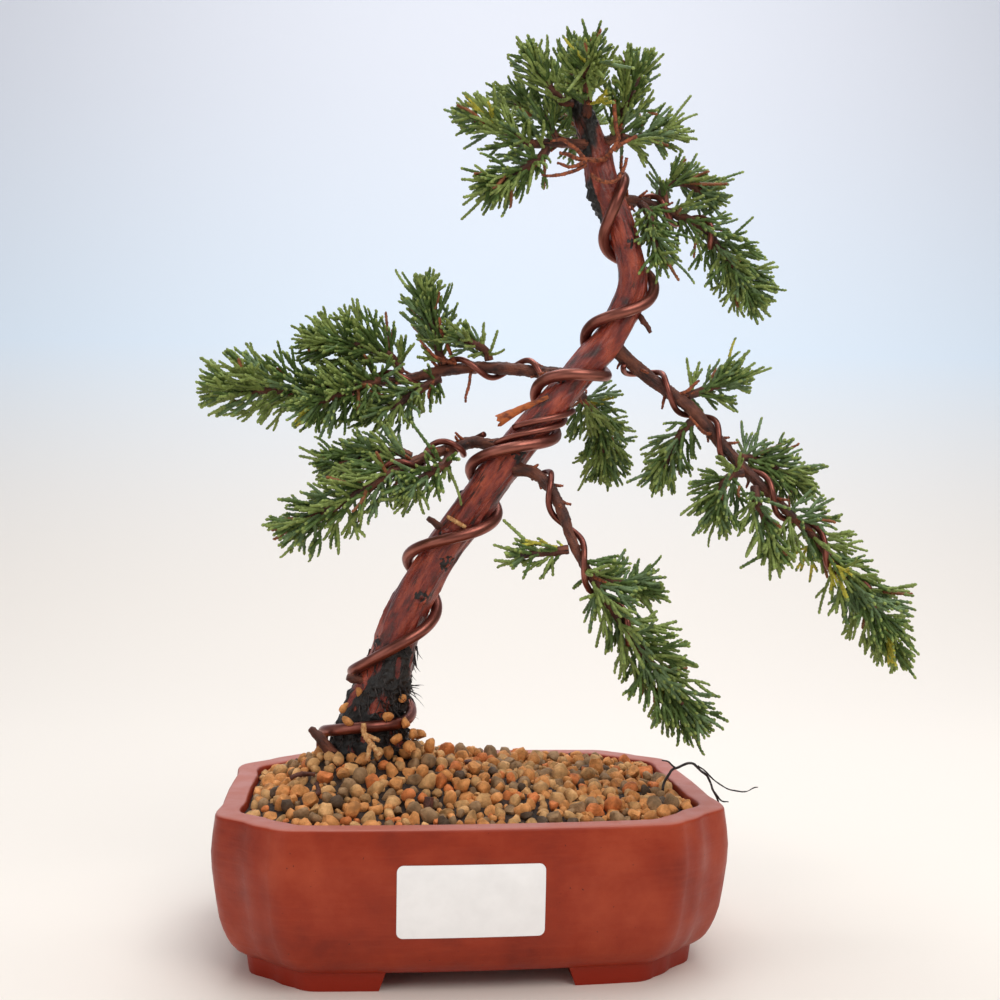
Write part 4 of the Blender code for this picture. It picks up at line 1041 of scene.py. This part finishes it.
def stemPath(spec, step):
    # the stem of a mass, with the mass's reach beside each row in place of the radius
    carrier = carriers[spec["on"]]
    reach = spec["stations"][0][3]
    if spec["at"] == "tip":
        line = unit(carrier[-1, :3] - carrier[-2, :3])
        start = carrier[-1, :3] + line * gap
        rows = [(*start, reach), (*(start + line * 2.0), reach)]
    else:
        index = carrierIndex(carrier, spec["at"])
        rows = [(*leave(carrier, index, spec["stations"][0][:3], stemRadius[0]), reach)]
    return smoothPath(rows + spec["stations"], step)


def withStemRadius(path):
    solid = path.copy()
    solid[:, 3] = np.linspace(*stemRadius, len(path))
    return solid


def wound(path, angles, radius, reference):
    # a wire's axis: at each distance along the path it stands off the bark at the given angle
    spots, lines = lengths(path), tangents(path)
    rows = []
    for distance, angle in angles:
        across, back = sideVectors(unit(rowAt(distance, spots, lines)), reference)
        *centre, bark = rowAt(distance, spots, path)
        off = bark + radius + wires["clearance"]
        rows.append([*(np.array(centre) + off * (across * math.cos(angle) + back * math.sin(angle))), radius])
    return np.array(rows)


def trunkWinding(first, last, lift):
    # an even pass is on the left side, an odd one on the right
    spots = lengths(axis)
    passes = [float(np.interp(height, axis[:, 2], spots)) for height in wires["passes"]]
    along = np.linspace(first, last, round((last - first) / 2 * wires["pointsPerTurn"]) + 1)
    eased = smoothPath([(k, 0.0, 0.0, p) for k, p in enumerate(passes)], 0.05)
    return [(float(np.interp(k, eased[:, 0], eased[:, 3])) + lift, math.pi + math.pi * k) for k in along]


def wireMaterial():
    material, tree, shader = startMaterial("copperWire", wires["copper"], 0.3, Metallic=0.9)
    place = objectSpace(tree)
    smudge = noiseOn(tree, place, 70.0, 3.0)
    colour = rampOn(tree, smudge, [(0.3, wires["dark"]), (0.5, wires["copper"]), (0.78, wires["worn"])])
    dull = rangeOn(tree, noiseOn(tree, place, 700.0, 3.0), 0.3, 0.75, 0.3, 0.4)
    feed(tree, shader, Base_Color=colour, Roughness=dull)
    bumpOn(tree, shader, noiseOn(tree, place, 900.0, 2.0), 0.04, 0.0003)
    return material


def wireShape(path):
    # both cut ends are slightly rounded
    head, tail = [[[*(end[:3] + unit(end[:3] - before[:3]) * out), end[3] * thin]
                   for out, thin in ((0.25, 0.72), (0.1, 0.93))]
                  for end, before in ((path[0], path[1]), (path[-1], path[-2]))]
    return wrapTube(np.vstack([head, path, tail[::-1]]), wires["sides"])


def makeWires(stems):
    # gives back every wire's axis, which the foliage keeps clear of
    material = wireMaterial()
    swollen = axis.copy()
    swollen[:, 3] *= np.array([flareSwell(height) for height in axis[:, 2]])
    thick, thin = wires["trunkRadius"], wires["thinRadius"]
    made = {"wire_trunk": wound(swollen, trunkWinding(0.0, len(wires["passes"]) - 1, 0.0), thick, (1, 0, 0))}
    for name, run in wires["thinRuns"].items():
        made[name] = wound(swollen, trunkWinding(*run), thin, (1, 0, 0))
    for name, (bough, mass, pitch, turn, start, end) in wires["boughRuns"].items():
        path = np.vstack([limbs[bough], withStemRadius(stems[mass])])
        count = round((end - start) / pitch * wires["pointsPerTurn"] * 0.6) + 1
        angles = [(d, math.tau * (turn + d / pitch)) for d in np.linspace(start, end, count)]
        made[name] = wound(path, angles, thin, (0, 0, 1))
    main = made["wire_trunk"]
    buried = smoothPath([(*spot, thick) for spot in wires["buried"]] + list(main[:3]), 1.0)[:-5]
    made["wire_trunk"] = np.vstack([buried, main[1:]])
    for name, path in made.items():
        finishPiece(name + "_bright", [wireShape(path)], material, (name,), sharp=60)
    return made


stems = {name: stemPath(spec, 1.5) for name, spec in masses.items()}
wireAxes = makeWires(stems)
print("wires:", len(wireAxes))

# ---- foliage

foliage = {
    "twigStep": 1.25, "tailRun": 11.0, "twigLean": 46.0, "rootLean": 80.0, "twigShare": (0.5, 1.15),
    "twigBare": 0.08, "stray": 0.15, "lastTwigs": 5, "nearby": 26,
    "shootStep": 3.7, "shootLean": 36.0, "shootLength": 15.5, "shootEnd": 0.84,
    "tipStep": 5.2, "tipLean": 38.0, "tipLength": 9.0, "tipStart": (0.2, 0.5),
    "radius": 0.74, "scaleStep": 1.3, "sides": 5, "goldenAngle": 137.5, "shortest": 2.2,
    "tints": {"Deep": tint(84, 106, 52), "Fresh": tint(128, 144, 76), "Blue": tint(102, 124, 82),
              "Yellow": tint(184, 176, 66), "Dead": tint(140, 88, 56)},
    "weights": {"Deep": 0.38, "Fresh": 0.38, "Blue": 0.22, "Yellow": 0.02},
    "deadShare": 0.025, "tipLight": 1.04,
    "parts": {"Left": "foliage_left", "Right": "foliage_right", "Crown": "foliage_crown", "Back": "foliage_back"},
}


boxLow, boxHigh = ((np.array(corner) - home) / mm for corner in cadBox)  # the foliage stays inside it


class Room:
    # the space a mass may fill: within reach of its own stem and clear of limbs and wires
    def __init__(self, name, solids):
        self.own = stems[name]
        self.solids = np.vstack([path for other, path in solids.items() if other != name])
        low, high = self.own[:, :3].min(0) - foliage["nearby"], self.own[:, :3].max(0) + foliage["nearby"]
        self.solids = self.solids[((self.solids[:, :3] > low) & (self.solids[:, :3] < high)).all(1)]

    def fits(self, spots, radius, inside):
        # the first few spots must lie within reach, and all of them clear
        toOwn = np.linalg.norm(spots[:inside, None] - self.own[None, :, :3], axis=2)
        if (toOwn.min(axis=1) > self.own[toOwn.argmin(axis=1), 3]).any():
            return False
        if (spots < boxLow + radius).any() or (spots > boxHigh - radius).any():
            return False
        if not len(self.solids):
            return True
        clear = np.linalg.norm(spots[:, None] - self.solids[None, :, :3], axis=2) - self.solids[None, :, 3]
        return bool((clear > radius + gap).all())


def cordAt(cord, share):
    start, aim, bend, length = cord
    return start + aim * length * share + bend * length * share**2


def cordLine(cord, share):
    return unit(cord[1] + 2 * cord[2] * share)


def fitted(cord, room, shares=(1.0, 0.85, 0.7, 0.55), inside=2):
    # the longest of a few lengths that has room
    start, aim, bend, length = cord
    for share in shares:
        tried = (start, aim, bend, length * share)
        spots = np.array([cordAt(tried, t) for t in (0.4, 0.7, 1.0)])
        if length * share > foliage["shortest"] and room.fits(spots, foliage["radius"] * 0.6, inside):
            return tried
    return None


def growMass(name, rng, room):
    # twigs wind round the stem by the golden angle; shoots leave each twig left and right in turn,
    # and short tips leave each shoot the same way
    stem, lift = stems[name], masses[name]["lift"]
    if masses[name]["at"] == "tip":  # the first twigs already leave the bough's own tip
        carrier = carriers[masses[name]["on"]]
        tail = carrier[lengths(carrier) > lengths(carrier)[-1] - foliage["tailRun"]].copy()
        tail[:, 3] = stem[0, 3]
        stem = np.vstack([tail, stem])
    spots, lines = lengths(stem), tangents(stem)
    sprays = []
    count = int(spots[-1] / foliage["twigStep"])
    turn = rng.uniform(0, math.tau)
    for i in range(1, count + foliage["lastTwigs"] + 1):
        final = i > count  # the last twigs stand round the stem's tip
        distance = spots[-1] - 0.3 if final else i * foliage["twigStep"]
        *root, reach = rowAt(distance, spots, stem)
        root, line = np.array(root), unit(rowAt(distance, spots, lines))
        across, up = freeVectors(line)
        turn += math.radians(foliage["goldenAngle"])
        leanTo = np.interp(distance / spots[-1], (0.0, 0.35), (foliage["rootLean"], foliage["twigLean"]))
        lean = math.radians(leanTo) * (rng.uniform(0.15, 0.55) if final else rng.uniform(0.7, 1.15))
        radial = across * math.cos(turn) + up * math.sin(turn)
        astray = np.array([rng.gauss(0, 1) for _ in range(3)]) * foliage["stray"]
        heading = unit(line * math.cos(lean) + radial * math.sin(lean) + np.array([0, 0, lift]) + astray)
        bend = (line * 0.35 + np.array([0, 0, rng.uniform(-0.1, 0.16)])) * rng.uniform(0.2, 1.0)
        length = reach * rng.uniform(*foliage["twigShare"])
        twig = fitted((root, heading, bend, length), room, (1.0, 0.85, 0.7, 0.55, 0.42, 0.3), 3)
        if twig is None:
            continue
        cords = [twig]
        side, flat = sideVectors(heading, radial + 0.3 * rng.uniform(-1, 1) * line)
        spread = rng.uniform(0, math.pi)
        steps = np.arange(foliage["twigBare"], foliage["shootEnd"], foliage["shootStep"] / twig[3])
        for k, share in enumerate(steps):
            share = min(share + rng.uniform(-0.03, 0.03), 0.95)
            away = spread + math.pi * k + rng.uniform(-0.5, 0.5)
            cords += growShoot(twig, share, away, side, flat, rng, room)
        sprays.append(cords)
    return sprays


def growShoot(twig, share, away, side, flat, rng, room):
    line = cordLine(twig, share)
    lean = math.radians(foliage["shootLean"]) * rng.uniform(0.8, 1.35)
    out = side * math.cos(away) + flat * math.sin(away)
    aim = unit(line * math.cos(lean) + out * math.sin(lean))
    length = foliage["shootLength"] * (1.2 - 0.7 * share) * rng.uniform(0.6, 1.2)
    bend = (line - aim) * rng.uniform(0.0, 0.5) + np.array([0, 0, rng.uniform(-0.06, 0.08)])
    shoot = fitted((cordAt(twig, share), aim, bend, length), room, inside=rng.choice((1, 2, 3, 3)))
    if shoot is None:
        return []
    cords = [shoot]
    steps = np.arange(rng.uniform(*foliage["tipStart"]), 0.74, foliage["tipStep"] / shoot[3])
    across = unit(np.cross(aim, out) + 1e-6)
    for k, at in enumerate(steps):
        sign = 1 if k % 2 else -1
        inward = cordLine(shoot, at)
        lean = math.radians(foliage["tipLean"]) * rng.uniform(0.8, 1.3)
        outward = unit(np.cross(across, inward)) * sign + across * rng.uniform(-0.5, 0.5)
        tipAim = unit(inward * math.cos(lean) + unit(outward) * math.sin(lean))
        reach = foliage["tipLength"] * rng.uniform(0.6, 1.2) * (1.2 - 0.7 * at)
        tip = fitted((cordAt(shoot, at), tipAim, (inward - tipAim) * 0.3, reach), room, inside=rng.choice((2, 3)))
        if tip is not None:
            cords.append(tip)
    return cords


def spun(profile, sides):
    # rows of radius and height, turned round the z axis
    bm = bmesh.new()
    verts = [bm.verts.new((r, 0.0, z)) for r, z in profile]
    edges = [bm.edges.new(pair) for pair in zip(verts, verts[1:])]
    bmesh.ops.spin(bm, geom=verts + edges, cent=(0, 0, 0), axis=(0, 0, 1), angle=math.tau, steps=sides,
                   use_merge=True)
    bmesh.ops.remove_doubles(bm, verts=bm.verts, dist=1e-5)
    return bm


def cordShape(scales, rounded):
    # pairs of scale leaves, each pair turned a quarter from the last, spun from one knobbly edge
    profile = [(0.0, -0.25), (0.8, 0.0)]
    for k in range(scales):
        profile += [(1.0 if rounded else 1.06, k + 0.6)]
        if k < scales - 1 or not rounded:
            profile += [(0.78, k + 1)]
    profile += [(0.7, scales - 0.02), (0.0, scales + 0.3)] if rounded else [(0.0, scales + 0.15)]
    bm = spun(profile, foliage["sides"])
    for vert in bm.verts:
        turn = math.atan2(vert.co.y, vert.co.x)
        swell = 1.0 + 0.15 * math.cos(2 * turn + math.pi * math.floor(vert.co.z + 0.5))
        vert.co.x *= swell
        vert.co.y *= swell
    bmesh.ops.recalc_face_normals(bm, faces=bm.faces)
    return asArrays(bm)


def bentCopies(shape, scales, cords, fromEnd=False):
    # the straight shape is laid along each cord's bent line
    verts, triangles = shape
    start, aim, bend, length, width, total = (np.array(column, float) for column in zip(*cords))
    across = np.cross(aim, [0.0, 0.0, 1.0])
    short = np.linalg.norm(across, axis=1) < 0.2
    across[short] = np.cross(aim[short], [1.0, 0.0, 0.0])
    across /= np.linalg.norm(across, axis=1)[:, None]
    back = np.cross(aim, across)
    level = verts[None, :, 2] + ((total - scales)[:, None] if fromEnd else 0.0)
    share = level / total[:, None]
    taper = width[:, None] * (1.12 - 0.26 * np.clip(share, 0, 1))
    along, bow = length[:, None] * share, length[:, None] * share * abs(share)
    moved = (start[:, None] + aim[:, None] * along[..., None] + bend[:, None] * bow[..., None]
             + across[:, None] * (verts[None, :, 0] * taper)[..., None]
             + back[:, None] * (verts[None, :, 1] * taper)[..., None])
    return repeated(moved, triangles)


def foliageMaterial(name, colour):
    material, tree, shader = startMaterial(name, colour, 0.5, Specular_IOR_Level=0.25)
    place = objectSpace(tree)
    feed(tree, shader, Base_Color=rampOn(tree, noiseOn(tree, place, 380.0, 2.0), [
        (0.35, shaded(colour, 0.7)), (0.5, colour), (0.66, shaded(colour, 1.35, 0.01))]))
    return material


def makeFoliage():
    # all bodies of cords first, dealt by part, tint and number of scales, and then their rounded ends
    solids = {**carriers, **wireAxes, **{name: withStemRadius(path) for name, path in stems.items()}}
    dealt, tipCords = {}, {}
    for name in masses:
        rng = random.Random(name)
        room = Room(name, solids)
        part = next(key for key, prefix in foliage["parts"].items() if name.startswith(prefix))
        for cords in growMass(name, rng, room):
            kind = rng.choices(list(foliage["weights"]), list(foliage["weights"].values()))[0]
            for k, cord in enumerate(cords):
                chosen = "Dead" if k and rng.random() < foliage["deadShare"] else kind
                scales = max(2, round(cord[3] / foliage["scaleStep"]))
                row = (*cord, foliage["radius"] * rng.uniform(0.9, 1.1), scales)
                dealt.setdefault((part, chosen), {}).setdefault(scales - 1, []).append(row)
                tipCords.setdefault(part if chosen != "Dead" else "Dead" + part, []).append(row)
    replacedBy = {part: [n for n in masses if n.startswith(prefix)] for part, prefix in foliage["parts"].items()}
    materials = {kind: foliageMaterial("scales" + kind, colour) for kind, colour in foliage["tints"].items()}
    for (part, kind), byScales in sorted(dealt.items()):
        sprays = joinArrays([bentCopies(cordShape(scales, False), scales, cords)
                             for scales, cords in sorted(byScales.items())])
        finishPiece("sprays" + kind + part, sprays, materials[kind], replacedBy.pop(part, ()))
    tipMaterial = foliageMaterial("scaleTips", shaded(foliage["tints"]["Fresh"], foliage["tipLight"]))
    for part, cords in sorted(tipCords.items()):
        finishPiece("cordEnds" + part, bentCopies(cordShape(1, True), 1, cords, fromEnd=True),
                    materials["Dead"] if part.startswith("Dead") else tipMaterial)
    print("foliage: cords", sum(len(cords) for cords in tipCords.values()))


def makeStems():
    bark = bpy.data.materials["youngBark"]
    shapes = []
    for spec in masses.values():
        path = withStemRadius(stemPath(spec, 0.9))
        if spec["at"] == "tip":
            line = unit(path[0, :3] - path[1, :3])  # rooted in the bough's tip
            path = np.vstack([[[*(path[0, :3] + line * 1.5), path[0, 3]]], path])
        shapes.append(wrapTube(path, 10, youngRelief))
    finishPiece("sprayStems", shapes, bark)


makeStems()
makeFoliage()

# ---- small pieces: peeling flake, loose roots, root hairs, dead twigs and litter

litter = {
    "flake": {"root": (30.8, -8.7, 209.6), "tip": (10.0, -14.0, 199.0), "narrow": 0.7, "wide": 2.5, "thickness": 0.5,
              "inner": tint(186, 98, 42), "outer": tint(112, 52, 26)},
    "rootBlack": tint(34, 26, 24),
    "barkTwig": tint(172, 92, 54), "barkTwigDeep": tint(84, 40, 26),
    "beige": tint(222, 176, 118), "beigeDeep": tint(176, 116, 66),
    "hairs": 300, "looseHairs": 80, "hairRadius": (0.16, 0.42), "hairLength": (3.0, 7.0),
    "spurStep": 5.5, "spurLength": (2.5, 6.5), "seed": 5,
    # granules stuck to the trunk's foot: place and size
    "perched": [(-42, -5.5, 94.5, 1.9), (-47.5, -5, 88.5, 2.1), (-46, -8.5, 84, 2.2), (-25, -3.5, 91.5, 1.9),
                (-30.5, -8.5, 85.5, 2.4), (-24, -6, 82.5, 2.8), (-20.5, -4, 77.5, 2.9), (-27.5, -11, 77, 2.6),
                (-18, 2, 76.5, 2.8), (-22, -11, 74, 3.2), (-14, -4, 73, 3)],
}

# crooked lines of dry roots and twigs: x, y, z and radius along each
dryLines = {
    "strand": [
        [(74.5, -18, 56.45, 0.55), (78.5, -17, 65, 0.55), (86, -17, 67.5, 0.5), (93, -17, 62, 0.45),
         (96, -18, 55, 0.4), (98.5, -19, 47, 0.3)],
        [(89, -17, 66.6, 0.32), (94, -18, 62, 0.3), (101, -20, 57.4, 0.28), (107, -21, 57.2, 0.24),
         (111.5, -22, 58.6, 0.18)],
        [(80, -17, 66, 0.4), (77, -16, 68.5, 0.3), (75, -15.5, 68.8, 0.2)],
        [(95, -18, 57, 0.35), (98, -18.5, 54, 0.3), (101, -19, 53, 0.2)]],
    "deadTwigs": [
        [(54, 0, 306, 0.9), (49, -4, 304.5, 0.8), (44, -5, 304.5, 0.8), (39, -6, 305.5, 0.7), (35, -7, 306, 0.5)],
        [(45, -5, 305, 0.7), (40, -6, 309, 0.7), (36, -7, 311, 0.6), (31, -8, 310, 0.4)],
        [(46, -5, 303.5, 0.7), (40, -6, 301, 0.6), (34, -7, 302, 0.4)],
        [(46, -4, 302.5, 0.7), (38, -6, 298.5, 0.6), (31, -7, 296.5, 0.5), (28, -7, 297, 0.3)],
        [(54, 0, 306, 0.8), (57, -3, 309, 0.8), (58.7, -4, 313, 0.8), (58, -5, 318, 0.8), (56.5, -6, 328, 0.6)],
        [(57, -3, 309, 0.8), (62, -4, 312, 0.7), (66.5, -4, 315, 0.6)],
        [(48, -3, 299, 0.7), (52, -5, 296, 0.7), (57, -6, 295.5, 0.6), (60, -6, 299, 0.6), (62, -5, 306, 0.5)],
        [(-4, 18, 225, 0.8), (-7, 15, 231, 0.7), (-10, 13, 238, 0.6), (-11, 12, 243, 0.4)],
        [(-4, 18, 225, 0.6), (-10, 13, 226, 0.6), (-16, 10, 230, 0.5), (-19, 9, 233, 0.3)],
        [(3, 19, 223, 0.6), (2, 16, 218, 0.5), (0.5, 14, 213, 0.5), (0, 13, 209, 0.35)],
        [(-12, 18, 220, 0.5), (-14, 14, 215, 0.5), (-15, 12, 210, 0.35)],
        [(84, 3, 212, 0.6), (89, 0, 214, 0.6), (93, -2, 218, 0.4)],
        [(98, -4, 197, 0.7), (94, -7, 196, 0.6), (90, -9, 199, 0.5), (87, -10, 203, 0.3)],
        [(-8, -7, 188, 0.5), (-10, -10, 183, 0.5), (-13, -12, 178, 0.35)],
        [(66, 12, 293, 0.6), (64, 8, 299, 0.6), (62, 6, 305, 0.5), (62, 4, 309, 0.35)]],
    "sprigs": [
        [(-40, -15.5, 84, 0.8), (-39.5, -16.5, 80, 0.9), (-37, -18, 76.5, 0.95), (-33.5, -20, 72.6, 0.7)],
        [(-39.4, -16.6, 80, 0.7), (-36.5, -17.5, 78.6, 0.75), (-34, -18.5, 77.8, 0.6)],
        [(-37.2, -18, 76.8, 0.7), (-38, -19.5, 73.6, 0.8), (-38.6, -21, 70.8, 0.6)],
        [(-8.6, -9.8, 162.6, 0.6), (-5, -10.6, 160.6, 0.75), (-1.2, -10.8, 158.4, 0.6)]],
    "stubs": [
        [(1, -5, 58, 1.3), (0.8, -5, 64, 1), (0.4, -5.4, 67.6, 1.2)],
        [(-17.5, -49, 54, 1.5), (-17, -48, 59, 1.3), (-16.6, -47, 62.4, 1.6)],
        [(-58, -18, 65.4, 0.7), (-63, -19, 65.8, 0.6), (-67, -21, 64.8, 0.4)],
        [(-57, -30, 64.6, 0.7), (-56, -33, 61.8, 0.6), (-59, -36, 61.4, 0.4)],
        [(-7.5, -4.5, 156.5, 1.1), (-12.5, -6, 159.5, 1.1), (-16, -7, 161.8, 0.8)],
        [(-39.5, 0, 98, 1.2), (-43.5, -1, 98.8, 1.3), (-46.5, -1.5, 99.6, 1)],
        [(68, 3, 246, 0.9), (71.5, 1.5, 240.5, 0.8), (73.5, 1, 237, 0.5)],
        [(62, 5, 268, 1.2), (68, 4, 273, 1)]],
}


def makeFlake():
    # a curled tongue of bark, narrow where it still holds and ragged at its free end
    spec = litter["flake"]
    root, tip = np.array(spec["root"]), np.array(spec["tip"])
    line = unit(tip - root)
    across = unit(np.cross(line, (0.0, 1.0, 0.35)))
    out = np.cross(across, line)
    length = float(np.linalg.norm(tip - root))
    bm = bmesh.new()
    bmesh.ops.create_grid(bm, x_segments=22, y_segments=8, size=0.5)
    for vert in bm.verts:
        along, side = vert.co.x + 0.5, vert.co.y * 2
        ragged = noise.noise(Vector((side * 2.3, 4.0, 1.0))) * 1.6 * along**6
        half = spec["narrow"] + (spec["wide"] - spec["narrow"]) * along**1.3
        half += 0.25 * noise.noise(Vector((along * 7, side, 0)))
        spot = root + line * (length * along * 0.97 + ragged) + across * half * side
        spot = spot + out * (0.9 * side**2 * along + 1.2 * math.sin(along * math.pi) - 0.5 * along)
        vert.co = placed(spot)
    bmesh.ops.recalc_face_normals(bm, faces=bm.faces)
    bmesh.ops.solidify(bm, geom=bm.faces[:], thickness=spec["thickness"] * mm)
    bmesh.ops.recalc_face_normals(bm, faces=bm.faces)
    material, tree, shader = startMaterial("flakeBark", spec["inner"], 0.55)
    fibre = grainOn(tree, objectSpace(tree), (260.0, 260.0, 620.0), 5.0)
    roughened(tree, shader, fibre, [(0.36, spec["outer"]), (0.55, spec["inner"])], 0.6, 0.0006)
    finishPiece("peelingFlake", [bm], material, ("bark_flake",), sharp=50)


def rootFinish(name, colour):
    material, tree, shader = startMaterial(name, colour, 0.34)
    grit = noiseOn(tree, objectSpace(tree), 700.0, 4.0)
    roughened(tree, shader, grit, [(0.42, colour), (0.72, shaded(colour, 2.6, 0.004))], 0.8, 0.0005)
    return material


def crooked(i, direction, spot):
    return 0.12 * wobble(spot, 0.8, 2.4, 3.0) + 0.1 * wobble(spot, 0.5, 0.9, 7.0)


def twistedPath(stations, step, amount, seed):
    # the smooth path with the small kinks of a dry root or twig
    path = smoothPath(stations, step)
    along = lengths(path)
    for i, distance in enumerate(along):
        push = noise.noise_vector(Vector((distance / 5.0, seed, 0.0)))
        path[i, :3] += np.array(push) * amount * min(distance / 3.0, 1.0)
    return path


def scaly(i, direction, spot):
    # overlapping old scale leaves
    return 0.22 * abs(math.sin(spot[2] * 2.6)) + 0.2 * wobble(spot, 0.7, 0.9, 2.0)


def dryTubes(key, step, amount, sides, relief):
    return [wrapTube(twistedPath(path, step, amount, k), sides, relief) for k, path in enumerate(dryLines[key])]


def makeLooseRoots(material):
    finishPiece("looseRoot", dryTubes("strand", 0.6, 1.0, 8, crooked), material, ("root_strand",))


def makeRootHairs(material):
    # fine black roots matted down the foot of the trunk, some standing off it
    rng = random.Random(litter["seed"])
    bm = spun([(0.0, 0.0), (1.0, 0.02), (1.0, 1.0), (0.85, 2.0), (0.7, 3.0), (0.5, 4.0), (0.0, 5.0)], 4)
    bmesh.ops.recalc_face_normals(bm, faces=bm.faces)
    shape = asArrays(bm)
    rows = []
    for k in range(litter["hairs"] + litter["looseHairs"]):
        loose = k >= litter["hairs"]
        height = rng.uniform(70.0, 96.0) if loose else rng.uniform(71.0, 112.0)
        centre = rowAt(height, axis[:, 2], axis)
        turn = rng.uniform(-1.5, 0.9) if loose else rng.uniform(0, math.tau)
        out = np.array([math.cos(turn), math.sin(turn), 0.0])
        sideways = np.array([-out[1], out[0], 0.0])
        start = centre[:3] + out * (centre[3] * flareSwell(height) + rng.uniform(-0.3, 0.9))
        if loose:
            aim = unit(out + sideways * rng.uniform(-0.8, 0.8) + np.array([0, 0, rng.uniform(-0.9, 0.6)]))
            bend = np.array([rng.uniform(-0.3, 0.3), rng.uniform(-0.3, 0.3), rng.uniform(-0.7, 0.1)])
        else:
            aim = unit(out * rng.uniform(0.1, 0.35) + sideways * rng.uniform(-0.7, 0.7) - np.array([0, 0, 1.0]))
            bend = out * rng.uniform(-0.1, 0.25) + sideways * rng.uniform(-0.5, 0.5)
        rows.append((start, aim, bend, rng.uniform(*litter["hairLength"]), rng.uniform(*litter["hairRadius"]), 5))
    finishPiece("rootHairs", bentCopies(shape, 5, rows), material)


def twigMaterial(name, pale, deep):
    material, tree, shader = startMaterial(name, pale, 0.7)
    grain = attributeOn(tree, "grain", "Vector")
    rough = grainOn(tree, grain, (0.9, 0.9, 0.8), 4.0)
    roughened(tree, shader, rough, [(0.38, deep), (0.62, pale)], 0.7, 0.0005)
    return material


def makeTwigs():
    shapes = dryTubes("deadTwigs", 0.4, 0.7, 7, scaly)
    rng = random.Random(litter["seed"])
    for path in limbs.values():
        # bare spurs of lost side shoots along each bough
        spots, lines = lengths(path), tangents(path)
        for distance in np.arange(5.0, spots[-1], litter["spurStep"]):
            i = int(np.argmin(abs(spots - distance + rng.uniform(-1.5, 1.5))))
            across, up = freeVectors(lines[i])
            turn, lean = rng.uniform(0, math.tau), math.radians(rng.uniform(35, 75))
            aim = lines[i] * math.cos(lean) + (across * math.cos(turn) + up * math.sin(turn)) * math.sin(lean)
            *centre, bark = path[i]
            foot, reach = centre + aim * bark * 0.5, bark * 0.5 + rng.uniform(*litter["spurLength"])
            spur = [(*foot, 0.65), (*(foot + aim * reach * 0.6 + up * 0.3), 0.5), (*(foot + aim * reach), 0.3)]
            shapes.append(wrapTube(twistedPath(spur, 0.5, 0.5, distance), 6, scaly))
    finishPiece("deadTwigs", shapes, twigMaterial("deadTwigBark", litter["barkTwig"], litter["barkTwigDeep"]))
    beige = twigMaterial("drySprig", litter["beige"], litter["beigeDeep"])
    finishPiece("drySprigs", dryTubes("sprigs", 0.35, 0.25, 8, scaly), beige)
    finishPiece("cutStubs", dryTubes("stubs", 0.6, 0.2, 12, youngRelief), bpy.data.materials["youngBark"])


def perchGranules():
    rng = random.Random(litter["seed"])
    groups = []
    for k, (x, y, z, size) in enumerate(litter["perched"]):
        base = np.diag([1.2, 0.95, 0.85]) @ anyTurn(rng) * size
        groups.append(copiesOf(*granuleShape(k + 20), np.array([base]), np.array([(x, y, z)])))
    finishPiece("granulesPerched", joinArrays(groups), bpy.data.materials["granulesOchre"], sharp=50)


black = rootFinish("blackRoot", litter["rootBlack"])
makeFlake()
makeLooseRoots(black)
makeRootHairs(black)
makeTwigs()
perchGranules()
print("litter: flake, roots, twigs and stubs")
